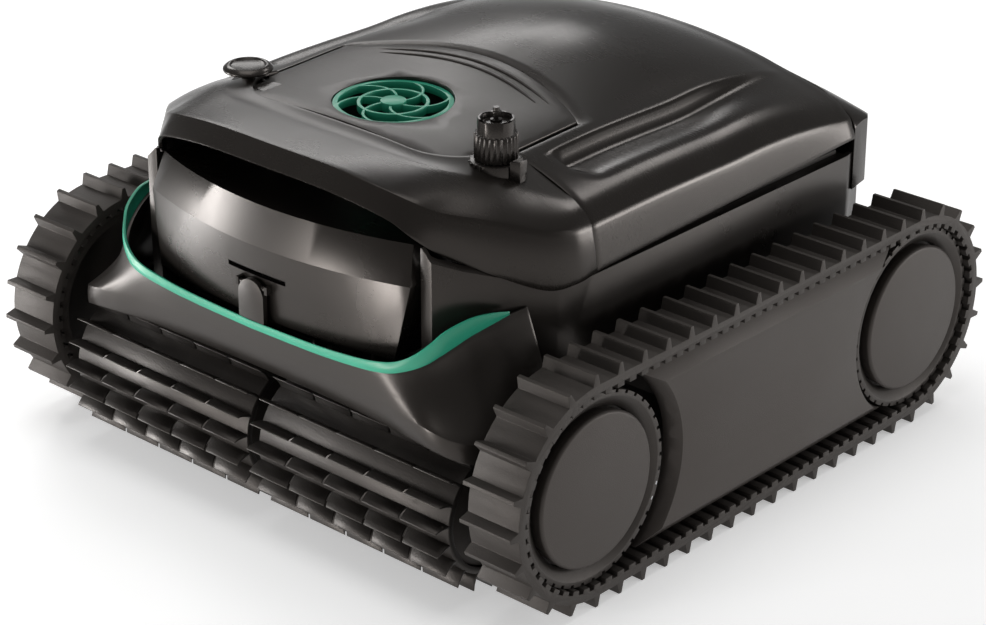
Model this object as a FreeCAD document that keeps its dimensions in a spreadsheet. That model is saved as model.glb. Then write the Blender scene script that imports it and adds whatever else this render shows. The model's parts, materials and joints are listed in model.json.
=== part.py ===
"""Cordless crawler pool cleaner: a tracked floor robot with front brush rollers and a hinged lid.

Frame: X across (right is +X), Y from the brushes (-Y) to the tail (+Y), Z up.
The origin is on the floor, midway between the axles and between the tracks. Millimetres.
"""
import FreeCAD, Part
import math
import os
import re

import Sketcher

os.makedirs("parts", exist_ok=True)
doc = FreeCAD.newDocument("pool_cleaner")
Vector = FreeCAD.Vector
Rotation = FreeCAD.Rotation
Placement = FreeCAD.Placement
ALONG_X = Rotation(Vector(0, 1, 0), 90)

# ---------------------------------------------------------------- driving dimensions
SIZES = {
    # running gear
    "wheelbase": 296, "axle_height": 72, "belt_inner_x": 171, "belt_outer_x": 207.5,
    "belt_surface_radius": 65.3, "fin_tip_radius": 72, "fin_count": 50, "fin_pitch": 20,
    "fin_root_width": 5.6, "fin_tip_width": 2.4, "fin_phase": 16.5,
    "belt_tooth_radius": 57.4, "belt_slot_radius": 60, "belt_slot_width": 4.4,
    "wheel_radius": 57, "wheel_inner_x": 174, "wheel_outer_x": 204, "wheel_web_x": 190,
    "wheel_seat_x": 195, "wheel_rim_bore": 50, "wheel_bevel_radius": 53.5, "wheel_seat_radius": 46.6,
    "wheel_bevel_x": 199, "hub_radius": 14, "hub_inner_x": 172, "wheel_notches": 40,
    "notch_width": 2.2, "notch_depth": 1.8, "axle_radius": 5, "running_gap": 0.05,
    "axle_inner_x": 154.6, "axle_outer_x": 194.5, "shaft_inner_x": 142,
    "hub_cap_radius": 45.9, "hub_cap_x": 206, "hub_cap_back_x": 195.3, "hub_cap_edge": 1.5,
    # side cover and track beam
    "cover_face_x": 207, "cover_bevel_x": 200, "cover_back_x": 196.2, "cover_half_height": 46,
    "cover_bevel": 8.5, "cover_front_radius": 72, "cover_rear_radius": 60.5,
    "beam_front_y": -72, "beam_rear_y": 78, "beam_low_z": 50, "beam_high_z": 94,
    # brush drive
    "gear_module": 1, "wheel_gear_teeth": 36, "brush_gear_teeth": 27, "gear_drop_angle": 41.8,
    "gear_inner_x": 159.2, "gear_outer_x": 167, "gear_backlash": 0.35, "gear_collar_radius": 8,
    "gear_cover_inner_x": 158.2, "gear_cover_outer_x": 170.3, "gear_cover_wall": 1.5,
    "gear_cover_big": 22.5, "gear_cover_small": 18,
    # brush rollers
    "brush_tip_radius": 48.5, "brush_sleeve_radius": 38, "brush_drum_radius": 34,
    "brush_inner_x": 5, "brush_outer_x": 153.2, "brush_fins": 20, "brush_fin_width": 2.2,
    "brush_slit": 1.6, "brush_slits": 4, "brush_journal": 4, "brush_fin_phase": 3.6,
    "hanger_half_width": 3, "hanger_radius": 12,
    # hull
    "hull_half_width": 157.5, "hull_front_y": -116, "hull_rear_y": 191, "hull_floor_z": 16,
    "hull_top_z": 100, "hull_wall": 3, "ear_inner_x": 154.5, "ear_brush_radius": 14,
    "ear_axle_radius": 18, "deck_top_z": 167, "deck_half_width": 156, "deck_wall": 3,
    # upper skin
    "skin_wall": 3, "lid_seam_y": 146, "seam_gap": 0.8, "cowl_seam_radius": 241.5,
    "tongue_half_width": 93, "dish_front_y": -134.5, "dish_arc_y": -12, "dish_arc_end_y": -37,
    "dish_corner_x": 62, "dish_corner_y": -106,
    "hinge_y": 148, "hinge_z": 209, "hinge_pin_radius": 2, "hinge_pin_half": 52,
    "knuckle_radius": 3.8, "tail_relief_radius": 9.9, "lug_width": 8,
    "arm_x": 31, "arm_gap": 3,
    # front box, trim and skirt
    "box_back_y": -146, "box_wall": 2.5, "box_low_z": 129, "box_crease_z": 174, "box_rim_z": 196,
    "trim_proud": 1.2, "trim_gap": 0.25,
    "skirt_low_z": 96, "skirt_high_z": 158, "skirt_wall": 3,
    "slit_half_width": 23, "slit_low_z": 155, "slit_high_z": 158,
    "tab_half_width": 10, "tab_low_z": 129.2, "tab_crown_z": 144, "tab_front_y": -207.4,
    "tab_back_y": -204.2, "tab_pivot_y": -204.9, "tab_pivot_z": 150, "tab_pin_radius": 1.3,
    "tab_lug_inner_x": 10.4, "tab_lug_outer_x": 12.6, "tab_lug_half_height": 2.4,
    # outlet and pump
    "outlet_y": -91, "outlet_radius": 35, "duct_inner": 36, "duct_wall": 2.5, "duct_low_z": 150,
    "grille_low_z": 223, "grille_high_z": 227.5, "impeller_radius": 33, "impeller_low_z": 188,
    "impeller_high_z": 208, "impeller_hub": 9, "impeller_blades": 6, "pump_shaft_radius": 3,
    "motor_radius": 21, "motor_low_z": 100.4, "motor_high_z": 172,
    # electronics
    "case_half_width": 84, "case_front_y": -112, "case_rear_y": -64, "case_high_z": 100,
    "case_wall": 3, "cell_radius": 10.2, "cell_length": 70,
    # filter basket and inlet
    "basket_half_width": 116, "basket_front_y": -44, "basket_rear_y": 124, "basket_low_z": 34,
    "basket_high_z": 160, "basket_wall": 2.5, "basket_rim": 7, "mesh_wall": 1,
    "inlet_half_width": 60, "inlet_front_y": 18, "inlet_rear_y": 52, "inlet_wall": 2.5,
    "flap_thickness": 2, "flap_hinge_radius": 2,
    # drive motors
    "drive_radius": 17.5, "drive_inner_x": 84, "drive_outer_x": 153.8, "drive_gearbox_x": 132,
    # shoulder fittings
    "fitting_x": 99, "fitting_y": -112, "button_radius": 15, "button_low_z": 227.4,
    "button_high_z": 231.6, "button_base_radius": 12, "button_base_low_z": 206,
    "button_base_high_z": 221, "cap_radius": 12.4, "cap_low_z": 226, "cap_high_z": 250,
    "cap_base_radius": 14.5, "cap_base_low_z": 206, "cap_base_high_z": 225.6, "cap_knurls": 24,
    "cap_pin_radius": 2.2, "cap_pin_top_z": 256,
    # fasteners
    "screw_head_radius": 4,
}

sheet = doc.addObject("Spreadsheet::Sheet", "Sizes")
for row, (alias, value) in enumerate(SIZES.items(), start=1):
    sheet.set(f"A{row}", alias)
    sheet.set(f"B{row}", str(value))
    sheet.setAlias(f"B{row}", alias)
doc.recompute()

NODES = {}


def mm(alias):
    """A driving dimension, read back from the sheet."""
    return float(getattr(sheet, alias))


def expression(text):
    """Turn bare size names into references to the sheet."""
    return re.sub(r"[a-z][a-z0-9_]*", lambda m: "Sizes." + m.group(0) if m.group(0) in SIZES
                  else m.group(0), str(text))


def bind(item, bindings):
    """Bind properties to expressions in the sheet."""
    for name, text in bindings.items():
        item.setExpression(name, expression(text))
    return item


def keep(name, item):
    """Name a finished sub-part."""
    item.Label = name
    NODES[name] = item
    return item


# ---------------------------------------------------------------- primitives and booleans
def block(name, low, high):
    """A box between two corners, each given as three expressions."""
    item = doc.addObject("Part::Box", name)
    for side, start, end in zip(("Length", "Width", "Height"), low, high):
        item.setExpression(side, expression(f"({end}) - ({start})"))
    return bind(item, {f"Placement.Base.{axis}": start for axis, start in zip("xyz", low)})


def rod(name, radius, start, end, across="0", up="0"):
    """A cylinder along X from start to end, centred on (across, up) in Y and Z."""
    item = doc.addObject("Part::Cylinder", name)
    item.Placement = Placement(Vector(), ALONG_X)
    bind(item, {"Radius": radius, "Height": f"({end}) - ({start})"})
    return bind(item, {"Placement.Base.x": start, "Placement.Base.y": across, "Placement.Base.z": up})


def post(name, radius, low, high, x="0", y="0"):
    """An upright cylinder."""
    item = doc.addObject("Part::Cylinder", name)
    bind(item, {"Radius": radius, "Height": f"({high}) - ({low})"})
    return bind(item, {"Placement.Base.x": x, "Placement.Base.y": y, "Placement.Base.z": low})


def fuse(name, *items):
    joined = doc.addObject("Part::MultiFuse", name)
    joined.Shapes = list(items)
    joined.Refine = True
    return joined


def cut(name, base, *tools):
    result = doc.addObject("Part::Cut", name)
    result.Base = base
    result.Tool = tools[0] if len(tools) == 1 else fuse(name + "_tools", *tools)
    return result


def feature(name, shape):
    item = doc.addObject("Part::Feature", name)
    item.Shape = shape
    return item


def mirrored(name, source):
    """The left-hand twin of a right-hand sub-part."""
    twin = doc.addObject("Part::Mirroring", name)
    twin.Source = source
    twin.Base = Vector(0, 0, 0)
    twin.Normal = Vector(1, 0, 0)
    return keep(name, twin)


# ---------------------------------------------------------------- sketched bodies
def new_body(name):
    return doc.addObject("PartDesign::Body", name)


def new_sketch(body, name, role, lift=None):
    """A sketch on one of the body's own origin planes, lifted along the plane's normal."""
    item = body.newObject("Sketcher::SketchObject", name)
    base = next(entry for entry in body.Origin.OriginFeatures if entry.Role == role)
    item.AttachmentSupport = [(base, "")]
    item.MapMode = "FlatFace"
    if lift is not None:
        item.setExpression("AttachmentOffset.Base.z", expression(lift))
    return item


def place_vertex(sketch, line, x, y):
    """Hold the start of a line at sheet-driven coordinates."""
    for kind, text, axis in (("DistanceX", x, -2), ("DistanceY", y, -1)):
        if str(text) == "0":
            sketch.addConstraint(Sketcher.Constraint("PointOnObject", line, 1, axis))
            continue
        number = evaluate(text)
        index = sketch.addConstraint(Sketcher.Constraint(kind, -1, 1, line, 1, number))
        sketch.setExpression(f"Constraints[{index}]", expression(text))


def evaluate(text):
    """The present value of an expression, used to draw a sketch near its final shape."""
    probe = sheet.evalExpression(expression(text))
    return float(probe.Value if hasattr(probe, "Value") else probe)


def polygon(sketch, corners):
    """A closed outline through corners given as pairs of expressions."""
    points = [Vector(evaluate(x), evaluate(y), 0) for x, y in corners]
    for here, there in zip(points, points[1:] + points[:1]):
        sketch.addGeometry(Part.LineSegment(here, there), False)
    count = len(points)
    for line in range(count):
        sketch.addConstraint(Sketcher.Constraint("Coincident", line, 2, (line + 1) % count, 1))
    for line, (x, y) in enumerate(corners):
        place_vertex(sketch, line, x, y)


def turned(body, name, corners):
    """A revolution about X: corners are (x, radius) pairs of expressions."""
    profile = new_sketch(body, name + "_profile", "XY_Plane")
    polygon(profile, corners)
    spin = body.newObject("PartDesign::Revolution", name)
    spin.Profile = profile
    spin.ReferenceAxis = (profile, ["H_Axis"])
    spin.Angle = 360
    profile.Visibility = False
    return spin


def padded(body, sketch, name, length):
    pad = body.newObject("PartDesign::Pad", name)
    pad.Profile = sketch
    pad.setExpression("Length", expression(length))
    return pad


def patterned(body, source, name, count):
    """Repeat a feature round the body's X axis."""
    axis = next(entry for entry in body.Origin.OriginFeatures if entry.Role == "X_Axis")
    ring = body.newObject("PartDesign::PolarPattern", name)
    ring.Originals = [source]
    ring.Axis = (axis, [""])
    ring.Angle = 360
    ring.setExpression("Occurrences", expression(count))
    body.Tip = ring
    return ring


def stand(item, y, z):
    """Put a body that is drawn about X on its real axis."""
    return bind(item, {"Placement.Base.y": y, "Placement.Base.z": z})


# ---------------------------------------------------------------- wires for free-form pieces
def arc(start, middle, end):
    return Part.Arc(start, middle, end).toShape()


def line(start, end):
    return Part.LineSegment(start, end).toShape()


def spline(points):
    curve = Part.BSplineCurve()
    curve.interpolate(points)
    return curve.toShape()


def plan_half(points, z):
    """A mirrored outline in plan, from half of its corners, at height z."""
    right = [Vector(x, y, z) for x, y in points]
    left = [Vector(-x, y, z) for x, y in reversed(points) if x > 0]
    return right + left


def closed(points):
    return Part.makePolygon(points + points[:1])


def prism(points, direction):
    return Part.Face(closed(points)).extrude(direction)


def between(table, place):
    """Straight interpolation in a short table of (place, value) pairs."""
    if place <= table[0][0]:
        return table[0][1]
    for (low, first), (high, second) in zip(table, table[1:]):
        if place <= high:
            return first + (second - first) * (place - low) / (high - low)
    return table[-1][1]


# ---------------------------------------------------------------- tracks
FRONT_Y = "(-wheelbase / 2)"
REAR_Y = "(wheelbase / 2)"


def loop_frame(travel):
    """Centre, outward normal and heading of the track loop at a distance along it."""
    half = mm("wheelbase") / 2
    height = mm("axle_height")
    length = mm("fin_count") * mm("fin_pitch")
    reach = (length - 2 * mm("wheelbase")) / 2
    travel = travel % length
    if travel <= 2 * half:
        return Vector(0, travel - half, height), Vector(0, 0, 1), Vector(0, 1, 0)
    if travel <= 2 * half + reach:
        turn = math.pi * (travel - 2 * half) / reach
        centre = Vector(0, half, height)
    elif travel <= 4 * half + reach:
        here = half - (travel - 2 * half - reach)
        return Vector(0, here, height), Vector(0, 0, -1), Vector(0, -1, 0)
    else:
        turn = math.pi + math.pi * (travel - 4 * half - reach) / reach
        centre = Vector(0, -half, height)
    normal = Vector(0, math.sin(turn), math.cos(turn))
    return centre, normal, Vector(0, math.cos(turn), -math.sin(turn))


def loop_point(travel, radius, offset=0.0):
    centre, normal, heading = loop_frame(travel)
    return centre + normal * radius + heading * offset


def loop_run(first, last, radius):
    """Edges along the loop at one radius, split where a straight meets a wheel."""
    base = mm("wheelbase")
    reach = (mm("fin_count") * mm("fin_pitch") - 2 * base) / 2
    joints = [0, base, base + reach, 2 * base + reach, 2 * base + 2 * reach]
    length = joints[-1]
    stops = [joint + turn for turn in (-length, 0, length) for joint in joints[:-1]]
    travel = [first] + [stop for stop in stops if first + 0.01 < stop < last - 0.01] + [last]
    edges = []
    for here, there in zip(travel, travel[1:]):
        start, end = loop_point(here, radius), loop_point(there, radius)
        middle = loop_point((here + there) / 2, radius)
        bowed = (middle - (start + end) * 0.5).Length > 1e-4
        edges.append(arc(start, middle, end) if bowed else line(start, end))
    return edges


def belt_outline():
    """The outer side of the track: the running surface with its upright fins."""
    pitch, tip = mm("fin_pitch"), mm("fin_tip_radius")
    root, half_tip = mm("fin_root_width") / 2, mm("fin_tip_width") / 2
    surface = mm("belt_surface_radius")
    edges = []
    for fin in range(int(mm("fin_count"))):
        here = mm("fin_phase") + fin * pitch
        foot, toe = loop_point(here - root, surface), loop_point(here + root, surface)
        heel, crest = loop_point(here, tip, -half_tip), loop_point(here, tip, half_tip)
        edges += [line(foot, heel), line(heel, crest), line(crest, toe)]
        edges += loop_run(here + root, here + pitch - root, surface)
    return Part.Wire(edges)


def belt_bore():
    """The inner side of the track: two drive slots to each fin."""
    pitch, tooth, deep = mm("fin_pitch") / 2, mm("belt_tooth_radius"), mm("belt_slot_radius")
    half = mm("belt_slot_width") / 2
    edges = []
    for slot in range(2 * int(mm("fin_count"))):
        here = mm("fin_phase") + (slot + 0.5) * pitch
        lip, mouth = loop_point(here - half, tooth), loop_point(here + half, tooth)
        left, right = loop_point(here - half, deep), loop_point(here + half, deep)
        edges += [line(lip, left), line(left, right), line(right, mouth)]
        edges += loop_run(here + half, here + pitch - half, tooth)
    return Part.Wire(edges)


def make_track():
    width = Vector(mm("belt_outer_x") - mm("belt_inner_x"), 0, 0)
    face = Part.Face([belt_outline(), belt_bore()])
    face.validate()
    shape = face.extrude(width)
    shape.translate(Vector(mm("belt_inner_x"), 0, 0))
    right = keep("track_belt_right", feature("track_belt_right", shape))
    mirrored("track_belt_left", right)


# ---------------------------------------------------------------- wheels
def make_wheel(name, y):
    body = new_body(name)
    turned(body, name + "_disc", [
        ("hub_inner_x", "axle_radius + running_gap"), ("hub_inner_x", "hub_radius"),
        ("wheel_web_x", "hub_radius"), ("wheel_web_x", "wheel_rim_bore"),
        ("wheel_inner_x", "wheel_rim_bore"), ("wheel_inner_x", "wheel_radius"),
        ("wheel_outer_x", "wheel_radius"), ("wheel_outer_x", "wheel_bevel_radius"),
        ("wheel_bevel_x", "wheel_seat_radius"), ("wheel_seat_x", "wheel_seat_radius"),
        ("wheel_seat_x", "axle_radius + running_gap")])
    notch = new_sketch(body, name + "_notch_outline", "YZ_Plane")
    polygon(notch, [("-notch_width / 2", "wheel_radius - notch_depth"),
                    ("notch_width / 2", "wheel_radius - notch_depth"),
                    ("notch_width / 2", "wheel_radius + 2"), ("-notch_width / 2", "wheel_radius + 2")])
    pocket = body.newObject("PartDesign::Pocket", name + "_notch")
    pocket.Profile = notch
    pocket.Type = "ThroughAll"
    pocket.Midplane = True
    patterned(body, pocket, name + "_notches", "wheel_notches")
    return keep(name, stand(body, y, "axle_height"))


def make_hub_cap(name, y):
    body = new_body(name)
    turned(body, name + "_disc", [
        ("hub_cap_back_x", "0"), ("hub_cap_back_x", "hub_cap_radius - hub_cap_edge"),
        ("hub_cap_x - hub_cap_edge", "hub_cap_radius"), ("hub_cap_x", "hub_cap_radius - hub_cap_edge"),
        ("hub_cap_x", "0")])
    return keep(name, stand(body, y, "axle_height"))


def make_running_gear():
    for end, y in (("front", FRONT_Y), ("rear", REAR_Y)):
        wheel = make_wheel(f"{end}_wheel_right", y)
        cap = make_hub_cap(f"{end}_hub_cap_right", y)
        doc.recompute()
        mirrored(f"{end}_wheel_left", wheel)
        mirrored(f"{end}_hub_cap_left", cap)
    axle = keep("front_axle_right", rod("front_axle_right", "axle_radius", "axle_inner_x",
                                        "axle_outer_x", FRONT_Y, "axle_height"))
    mirrored("front_axle_left", axle)
    shaft = keep("drive_shaft_right", rod("drive_shaft_right", "axle_radius", "shaft_inner_x",
                                          "axle_outer_x", REAR_Y, "axle_height"))
    mirrored("drive_shaft_left", shaft)
    barrel = rod("drive_barrel", "drive_radius", "drive_inner_x", "drive_gearbox_x",
                 REAR_Y, "axle_height")
    gearbox = block("drive_gearbox", ("drive_gearbox_x", "wheelbase / 2 - drive_radius",
                                      "axle_height - drive_radius"),
                    ("drive_outer_x", "wheelbase / 2 + drive_radius", "axle_height + drive_radius"))
    socket = rod("drive_socket", "axle_radius + running_gap", "shaft_inner_x - 1", "drive_outer_x + 1",
                 REAR_Y, "axle_height")
    motor = keep("drive_motor_right", cut("drive_motor_right",
                                          fuse("drive_motor_form", barrel, gearbox), socket))
    mirrored("drive_motor_left", motor)


def cover_outline(body, name, lift, spread):
    """Side cover outline: flat top and bottom, ends hollowed round the two wheels."""
    sketch = new_sketch(body, name, "YZ_Plane", lift)
    half, height = evaluate("wheelbase / 2"), mm("axle_height")
    rise = mm("cover_half_height") + spread
    front = mm("cover_front_radius") - spread / 2
    rear = mm("cover_rear_radius") - spread / 4
    reach = [math.sqrt(radius ** 2 - rise ** 2) for radius in (front, rear)]
    corners = [Vector(side * (half - run), height + up * rise, 0)
               for side, run, up in ((-1, reach[0], 1), (1, reach[1], 1), (1, reach[1], -1),
                                     (-1, reach[0], -1))]
    sketch.addGeometry(Part.LineSegment(corners[0], corners[1]), False)
    sketch.addGeometry(Part.Arc(corners[1], Vector(half - rear, height, 0), corners[2]), False)
    sketch.addGeometry(Part.LineSegment(corners[2], corners[3]), False)
    sketch.addGeometry(Part.Arc(corners[3], Vector(front - half, height, 0), corners[0]), False)
    sketch.addConstraint(Sketcher.Constraint("Horizontal", 0))
    sketch.addConstraint(Sketcher.Constraint("Horizontal", 2))
    return sketch


def make_side_cover():
    body = new_body("side_cover_right")
    back = cover_outline(body, "cover_back_outline", "cover_back_x", mm("cover_bevel"))
    padded(body, back, "cover_back", "cover_bevel_x - cover_back_x")
    wide = cover_outline(body, "cover_wide_outline", "cover_bevel_x", mm("cover_bevel"))
    face = cover_outline(body, "cover_face_outline", "cover_face_x", 0)
    loft = body.newObject("PartDesign::AdditiveLoft", "cover_bevel_loft")
    loft.Profile = wide
    loft.Sections = [face]
    loft.Ruled = True
    doc.recompute()
    right = keep("side_cover_right", body)
    mirrored("side_cover_left", right)
    beam = keep("track_beam_right", block(
        "track_beam_right", ("hull_half_width + 0.3", "beam_front_y", "beam_low_z"),
        ("cover_back_x - 0.1", "beam_rear_y", "beam_high_z")))
    mirrored("track_beam_left", beam)


# ---------------------------------------------------------------- brush drive
def gear_shape(teeth, tooth_angle, bore, inner_x, outer_x):
    """A spur gear about X with involute flanks; one tooth points along tooth_angle in YZ."""
    module = mm("gear_module")
    pitch_radius = module * teeth / 2
    pressure = math.radians(20)
    base = pitch_radius * math.cos(pressure)
    tip, root = pitch_radius + 0.9 * module, pitch_radius - 1.25 * module
    half_tooth = (math.pi * module / 2 - mm("gear_backlash")) / (2 * pitch_radius)
    involute_at_pitch = math.tan(pressure) - pressure

    def flank_angle(radius):
        roll = math.acos(min(1.0, base / max(radius, base)))
        return half_tooth + involute_at_pitch - (math.tan(roll) - roll)

    steps = 5
    start = max(root, base)
    radii = [root] + [start + (tip - start) * step / steps for step in range(steps + 1)]
    if start == root:
        radii = radii[1:]
    outline = []
    for tooth in range(teeth):
        centre = tooth_angle + tooth * 2 * math.pi / teeth
        rising = [(radius, centre - flank_angle(radius)) for radius in radii]
        falling = [(radius, centre + flank_angle(radius)) for radius in reversed(radii)]
        outline += rising + falling
    points = [Vector(inner_x, radius * math.cos(turn), radius * math.sin(turn))
              for radius, turn in outline]
    width = Vector(outer_x - inner_x, 0, 0)
    wheel = prism(points, width)
    hole = Part.makeCylinder(bore, outer_x - inner_x + 2, Vector(inner_x - 1, 0, 0), Vector(1, 0, 0))
    return wheel.cut(hole)


def gear_distance():
    return mm("gear_module") * (mm("wheel_gear_teeth") + mm("brush_gear_teeth")) / 2


def brush_axis():
    """Y and Z of the brush shaft: one gear distance ahead of and below the front axle."""
    turn = math.radians(mm("gear_drop_angle"))
    return (-mm("wheelbase") / 2 - gear_distance() * math.cos(turn),
            mm("axle_height") - gear_distance() * math.sin(turn))


def make_brush_drive():
    drop = math.radians(mm("gear_drop_angle"))
    toward_brush = math.pi + drop
    wheel_bore = mm("axle_radius") + mm("running_gap")
    inner, outer = mm("gear_inner_x"), mm("gear_outer_x")
    driver = gear_shape(int(mm("wheel_gear_teeth")), toward_brush, wheel_bore, inner, outer)
    collar = Part.makeCylinder(mm("gear_collar_radius"), mm("hub_inner_x") - outer,
                               Vector(outer, 0, 0), Vector(1, 0, 0))
    collar = collar.cut(Part.makeCylinder(wheel_bore, mm("hub_inner_x") - outer + 2,
                                          Vector(outer - 1, 0, 0), Vector(1, 0, 0)))
    driver = driver.fuse(collar).removeSplitter()
    driver.translate(Vector(0, -mm("wheelbase") / 2, mm("axle_height")))
    right = keep("wheel_gear_right", feature("wheel_gear_right", driver))
    mirrored("wheel_gear_left", right)
    teeth = int(mm("brush_gear_teeth"))
    driven = gear_shape(teeth, drop + math.pi / teeth, mm("brush_journal"), inner, outer)
    y, z = brush_axis()
    driven.translate(Vector(0, y, z))
    right = keep("brush_gear_right", feature("brush_gear_right", driven))
    mirrored("brush_gear_left", right)


def link_plate(inner_x, outer_x, brush_radius, axle_radius):
    """A plate that wraps the brush shaft and the front axle like a chain link."""
    width = outer_x - inner_x
    y, z = brush_axis()
    brush_end, axle_end = Vector(inner_x, y, z), Vector(inner_x, -mm("wheelbase") / 2, mm("axle_height"))
    along = Vector(1, 0, 0)
    discs = [Part.makeCylinder(brush_radius, width, brush_end, along),
             Part.makeCylinder(axle_radius, width, axle_end, along)]
    heading = (axle_end - brush_end).normalize()
    side = Vector(0, -heading.z, heading.y)
    lean = math.asin((axle_radius - brush_radius) / gear_distance())
    first = side * math.cos(lean) - heading * math.sin(lean)
    second = side * -math.cos(lean) - heading * math.sin(lean)
    corners = [brush_end + first * brush_radius, axle_end + first * axle_radius,
               axle_end + second * axle_radius, brush_end + second * brush_radius]
    return discs[0].fuse([discs[1], prism(corners, along * width)]).removeSplitter()


def make_gear_cover():
    inner, outer = mm("gear_cover_inner_x"), mm("gear_cover_outer_x")
    wall = mm("gear_cover_wall")
    big, small = mm("gear_cover_big"), mm("gear_cover_small")
    case = link_plate(inner, outer, small, big)
    room = link_plate(inner - 1, outer - wall, small - wall, big - wall)
    eye = Part.makeCylinder(mm("gear_collar_radius") + 1, 10,
                            Vector(outer - 5, -mm("wheelbase") / 2, mm("axle_height")), Vector(1, 0, 0))
    right = keep("gear_cover_right", feature("gear_cover_right", case.cut(room).cut(eye)))
    mirrored("gear_cover_left", right)


def make_brushes():
    y, z = brush_axis()
    core = new_body("brush_core_right")
    turned(core, "brush_core_form", [
        ("brush_inner_x - 2", "0"), ("brush_inner_x - 2", "brush_journal"),
        ("brush_inner_x + 2", "brush_journal"), ("brush_inner_x + 2", "brush_drum_radius"),
        ("brush_outer_x - 2", "brush_drum_radius"), ("brush_outer_x - 2", "brush_journal"),
        ("gear_outer_x", "brush_journal"), ("gear_outer_x", "0")])
    core.Placement.Base = Vector(0, y, z)
    fins = new_body("brush_fins_right")
    turned(fins, "brush_sleeve", [
        ("brush_inner_x", "brush_drum_radius"), ("brush_inner_x", "brush_sleeve_radius"),
        ("brush_outer_x", "brush_sleeve_radius"), ("brush_outer_x", "brush_drum_radius")])
    blade = new_sketch(fins, "brush_blade_outline", "YZ_Plane", "brush_inner_x")
    polygon(blade, [("-brush_fin_width / 2", "brush_sleeve_radius - 1"),
                    ("brush_fin_width / 2", "brush_sleeve_radius - 1"),
                    ("brush_fin_width / 3", "brush_tip_radius"),
                    ("-brush_fin_width / 3", "brush_tip_radius")])
    pad = padded(fins, blade, "brush_blade", "brush_outer_x - brush_inner_x")
    patterned(fins, pad, "brush_blades", "brush_fins")
    fins.Placement = Placement(Vector(0, y, z), Rotation(Vector(1, 0, 0), 90 + mm("brush_fin_phase")))
    doc.recompute()
    slots = [rod(f"brush_slit_{index}", "brush_tip_radius + 1",
                 f"brush_inner_x + (brush_outer_x - brush_inner_x) * {index + 1}"
                 " / (brush_slits + 1) - brush_slit / 2",
                 f"brush_inner_x + (brush_outer_x - brush_inner_x) * {index + 1}"
                 " / (brush_slits + 1) + brush_slit / 2")
             for index in range(int(mm("brush_slits")))]
    waist = rod("brush_waist", "brush_sleeve_radius", "0", "brush_outer_x + 5")
    for item in slots + [waist]:
        item.Placement.Base.y, item.Placement.Base.z = y, z
    slit_rings = cut("brush_slit_rings", fuse("brush_slit_discs", *slots), waist)
    fins_right = keep("brush_fins_right", cut("brush_fins_right_slit", fins, slit_rings))
    keep("brush_core_right", core)
    mirrored("brush_core_left", core)
    mirrored("brush_fins_left", fins_right)


def make_hanger():
    """The middle bearing that both brush cores share, hung from the hull's front wall."""
    y, z = brush_axis()
    half = mm("hanger_half_width")
    eye = Part.makeCylinder(mm("hanger_radius"), 2 * half, Vector(-half, y, z), Vector(1, 0, 0))
    wall_y = mm("hull_front_y") - 0.05
    arm = prism([Vector(-half, y, z - 10), Vector(-half, y + 6, z + 11), Vector(-half, wall_y, 92),
                 Vector(-half, wall_y, 60)], Vector(2 * half, 0, 0))
    bore = Part.makeCylinder(mm("brush_journal") + mm("running_gap"), 20, Vector(-10, y, z),
                             Vector(1, 0, 0))
    keep("brush_hanger", feature("brush_hanger", eye.fuse(arm).cut(bore)))


# ---------------------------------------------------------------- hull
def make_hull():
    outer = block("hull_outer", ("-hull_half_width", "hull_front_y", "hull_floor_z"),
                  ("hull_half_width", "hull_rear_y", "hull_top_z"))
    room = block("hull_room", ("-hull_half_width + hull_wall", "hull_front_y + hull_wall",
                               "hull_floor_z + hull_wall"),
                 ("hull_half_width - hull_wall", "hull_rear_y - hull_wall", "hull_top_z + 1"))
    inlet = block("hull_inlet", ("-inlet_half_width", "inlet_front_y", "hull_floor_z - 1"),
                  ("inlet_half_width", "inlet_rear_y", "hull_floor_z + hull_wall + 1"))
    inner, outer_x = mm("ear_inner_x"), mm("hull_half_width")
    ear = link_plate(inner, outer_x, mm("ear_brush_radius"), mm("ear_axle_radius"))
    strut = Part.makeBox(outer_x - inner, mm("hull_front_y") + mm("wheelbase") / 2 + 1,
                         2 * mm("ear_axle_radius"),
                         Vector(inner, -mm("wheelbase") / 2, mm("axle_height") - mm("ear_axle_radius")))
    plate = ear.fuse(strut).removeSplitter()
    y, z = brush_axis()
    brush_hole = Part.makeCylinder(mm("brush_journal") + mm("running_gap"), 10, Vector(inner - 1, y, z),
                                   Vector(1, 0, 0))
    plate = plate.cut(brush_hole)
    ear_right = feature("hull_ear_right", plate)
    ear_left = feature("hull_ear_left", plate.mirror(Vector(), Vector(1, 0, 0)))
    across = "hull_half_width + 1"
    shafts = rod("hull_shaft_holes", "axle_radius + running_gap", f"-({across})", across,
                 REAR_Y, "axle_height")
    axles = rod("hull_axle_holes", "axle_radius", f"-({across})", across, FRONT_Y, "axle_height")
    keep("hull_tray", cut("hull_tray", fuse("hull_form", outer, ear_right, ear_left),
                          room, inlet, shafts, axles))


def deck_plan():
    """Half outline of the deck: square behind the front box, slanted shoulders, rounded tail."""
    half = mm("deck_half_width")
    front = [(0, -142), (105, -142), (106, -180), (114, -180), (124, -166), (136, -145), (150, -119)]
    tail = [(half, 140), (half - 5, 162), (half - 18, 180), (half - 40, 189), (0, mm("hull_rear_y"))]
    return front + [(half, -95)] + tail


def shrink(points, inset):
    """Move a half outline's corners inwards."""
    return [(max(x - inset, 0) if x > 0 else 0, y + (inset if y < 0 else -inset)) for x, y in points]


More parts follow.
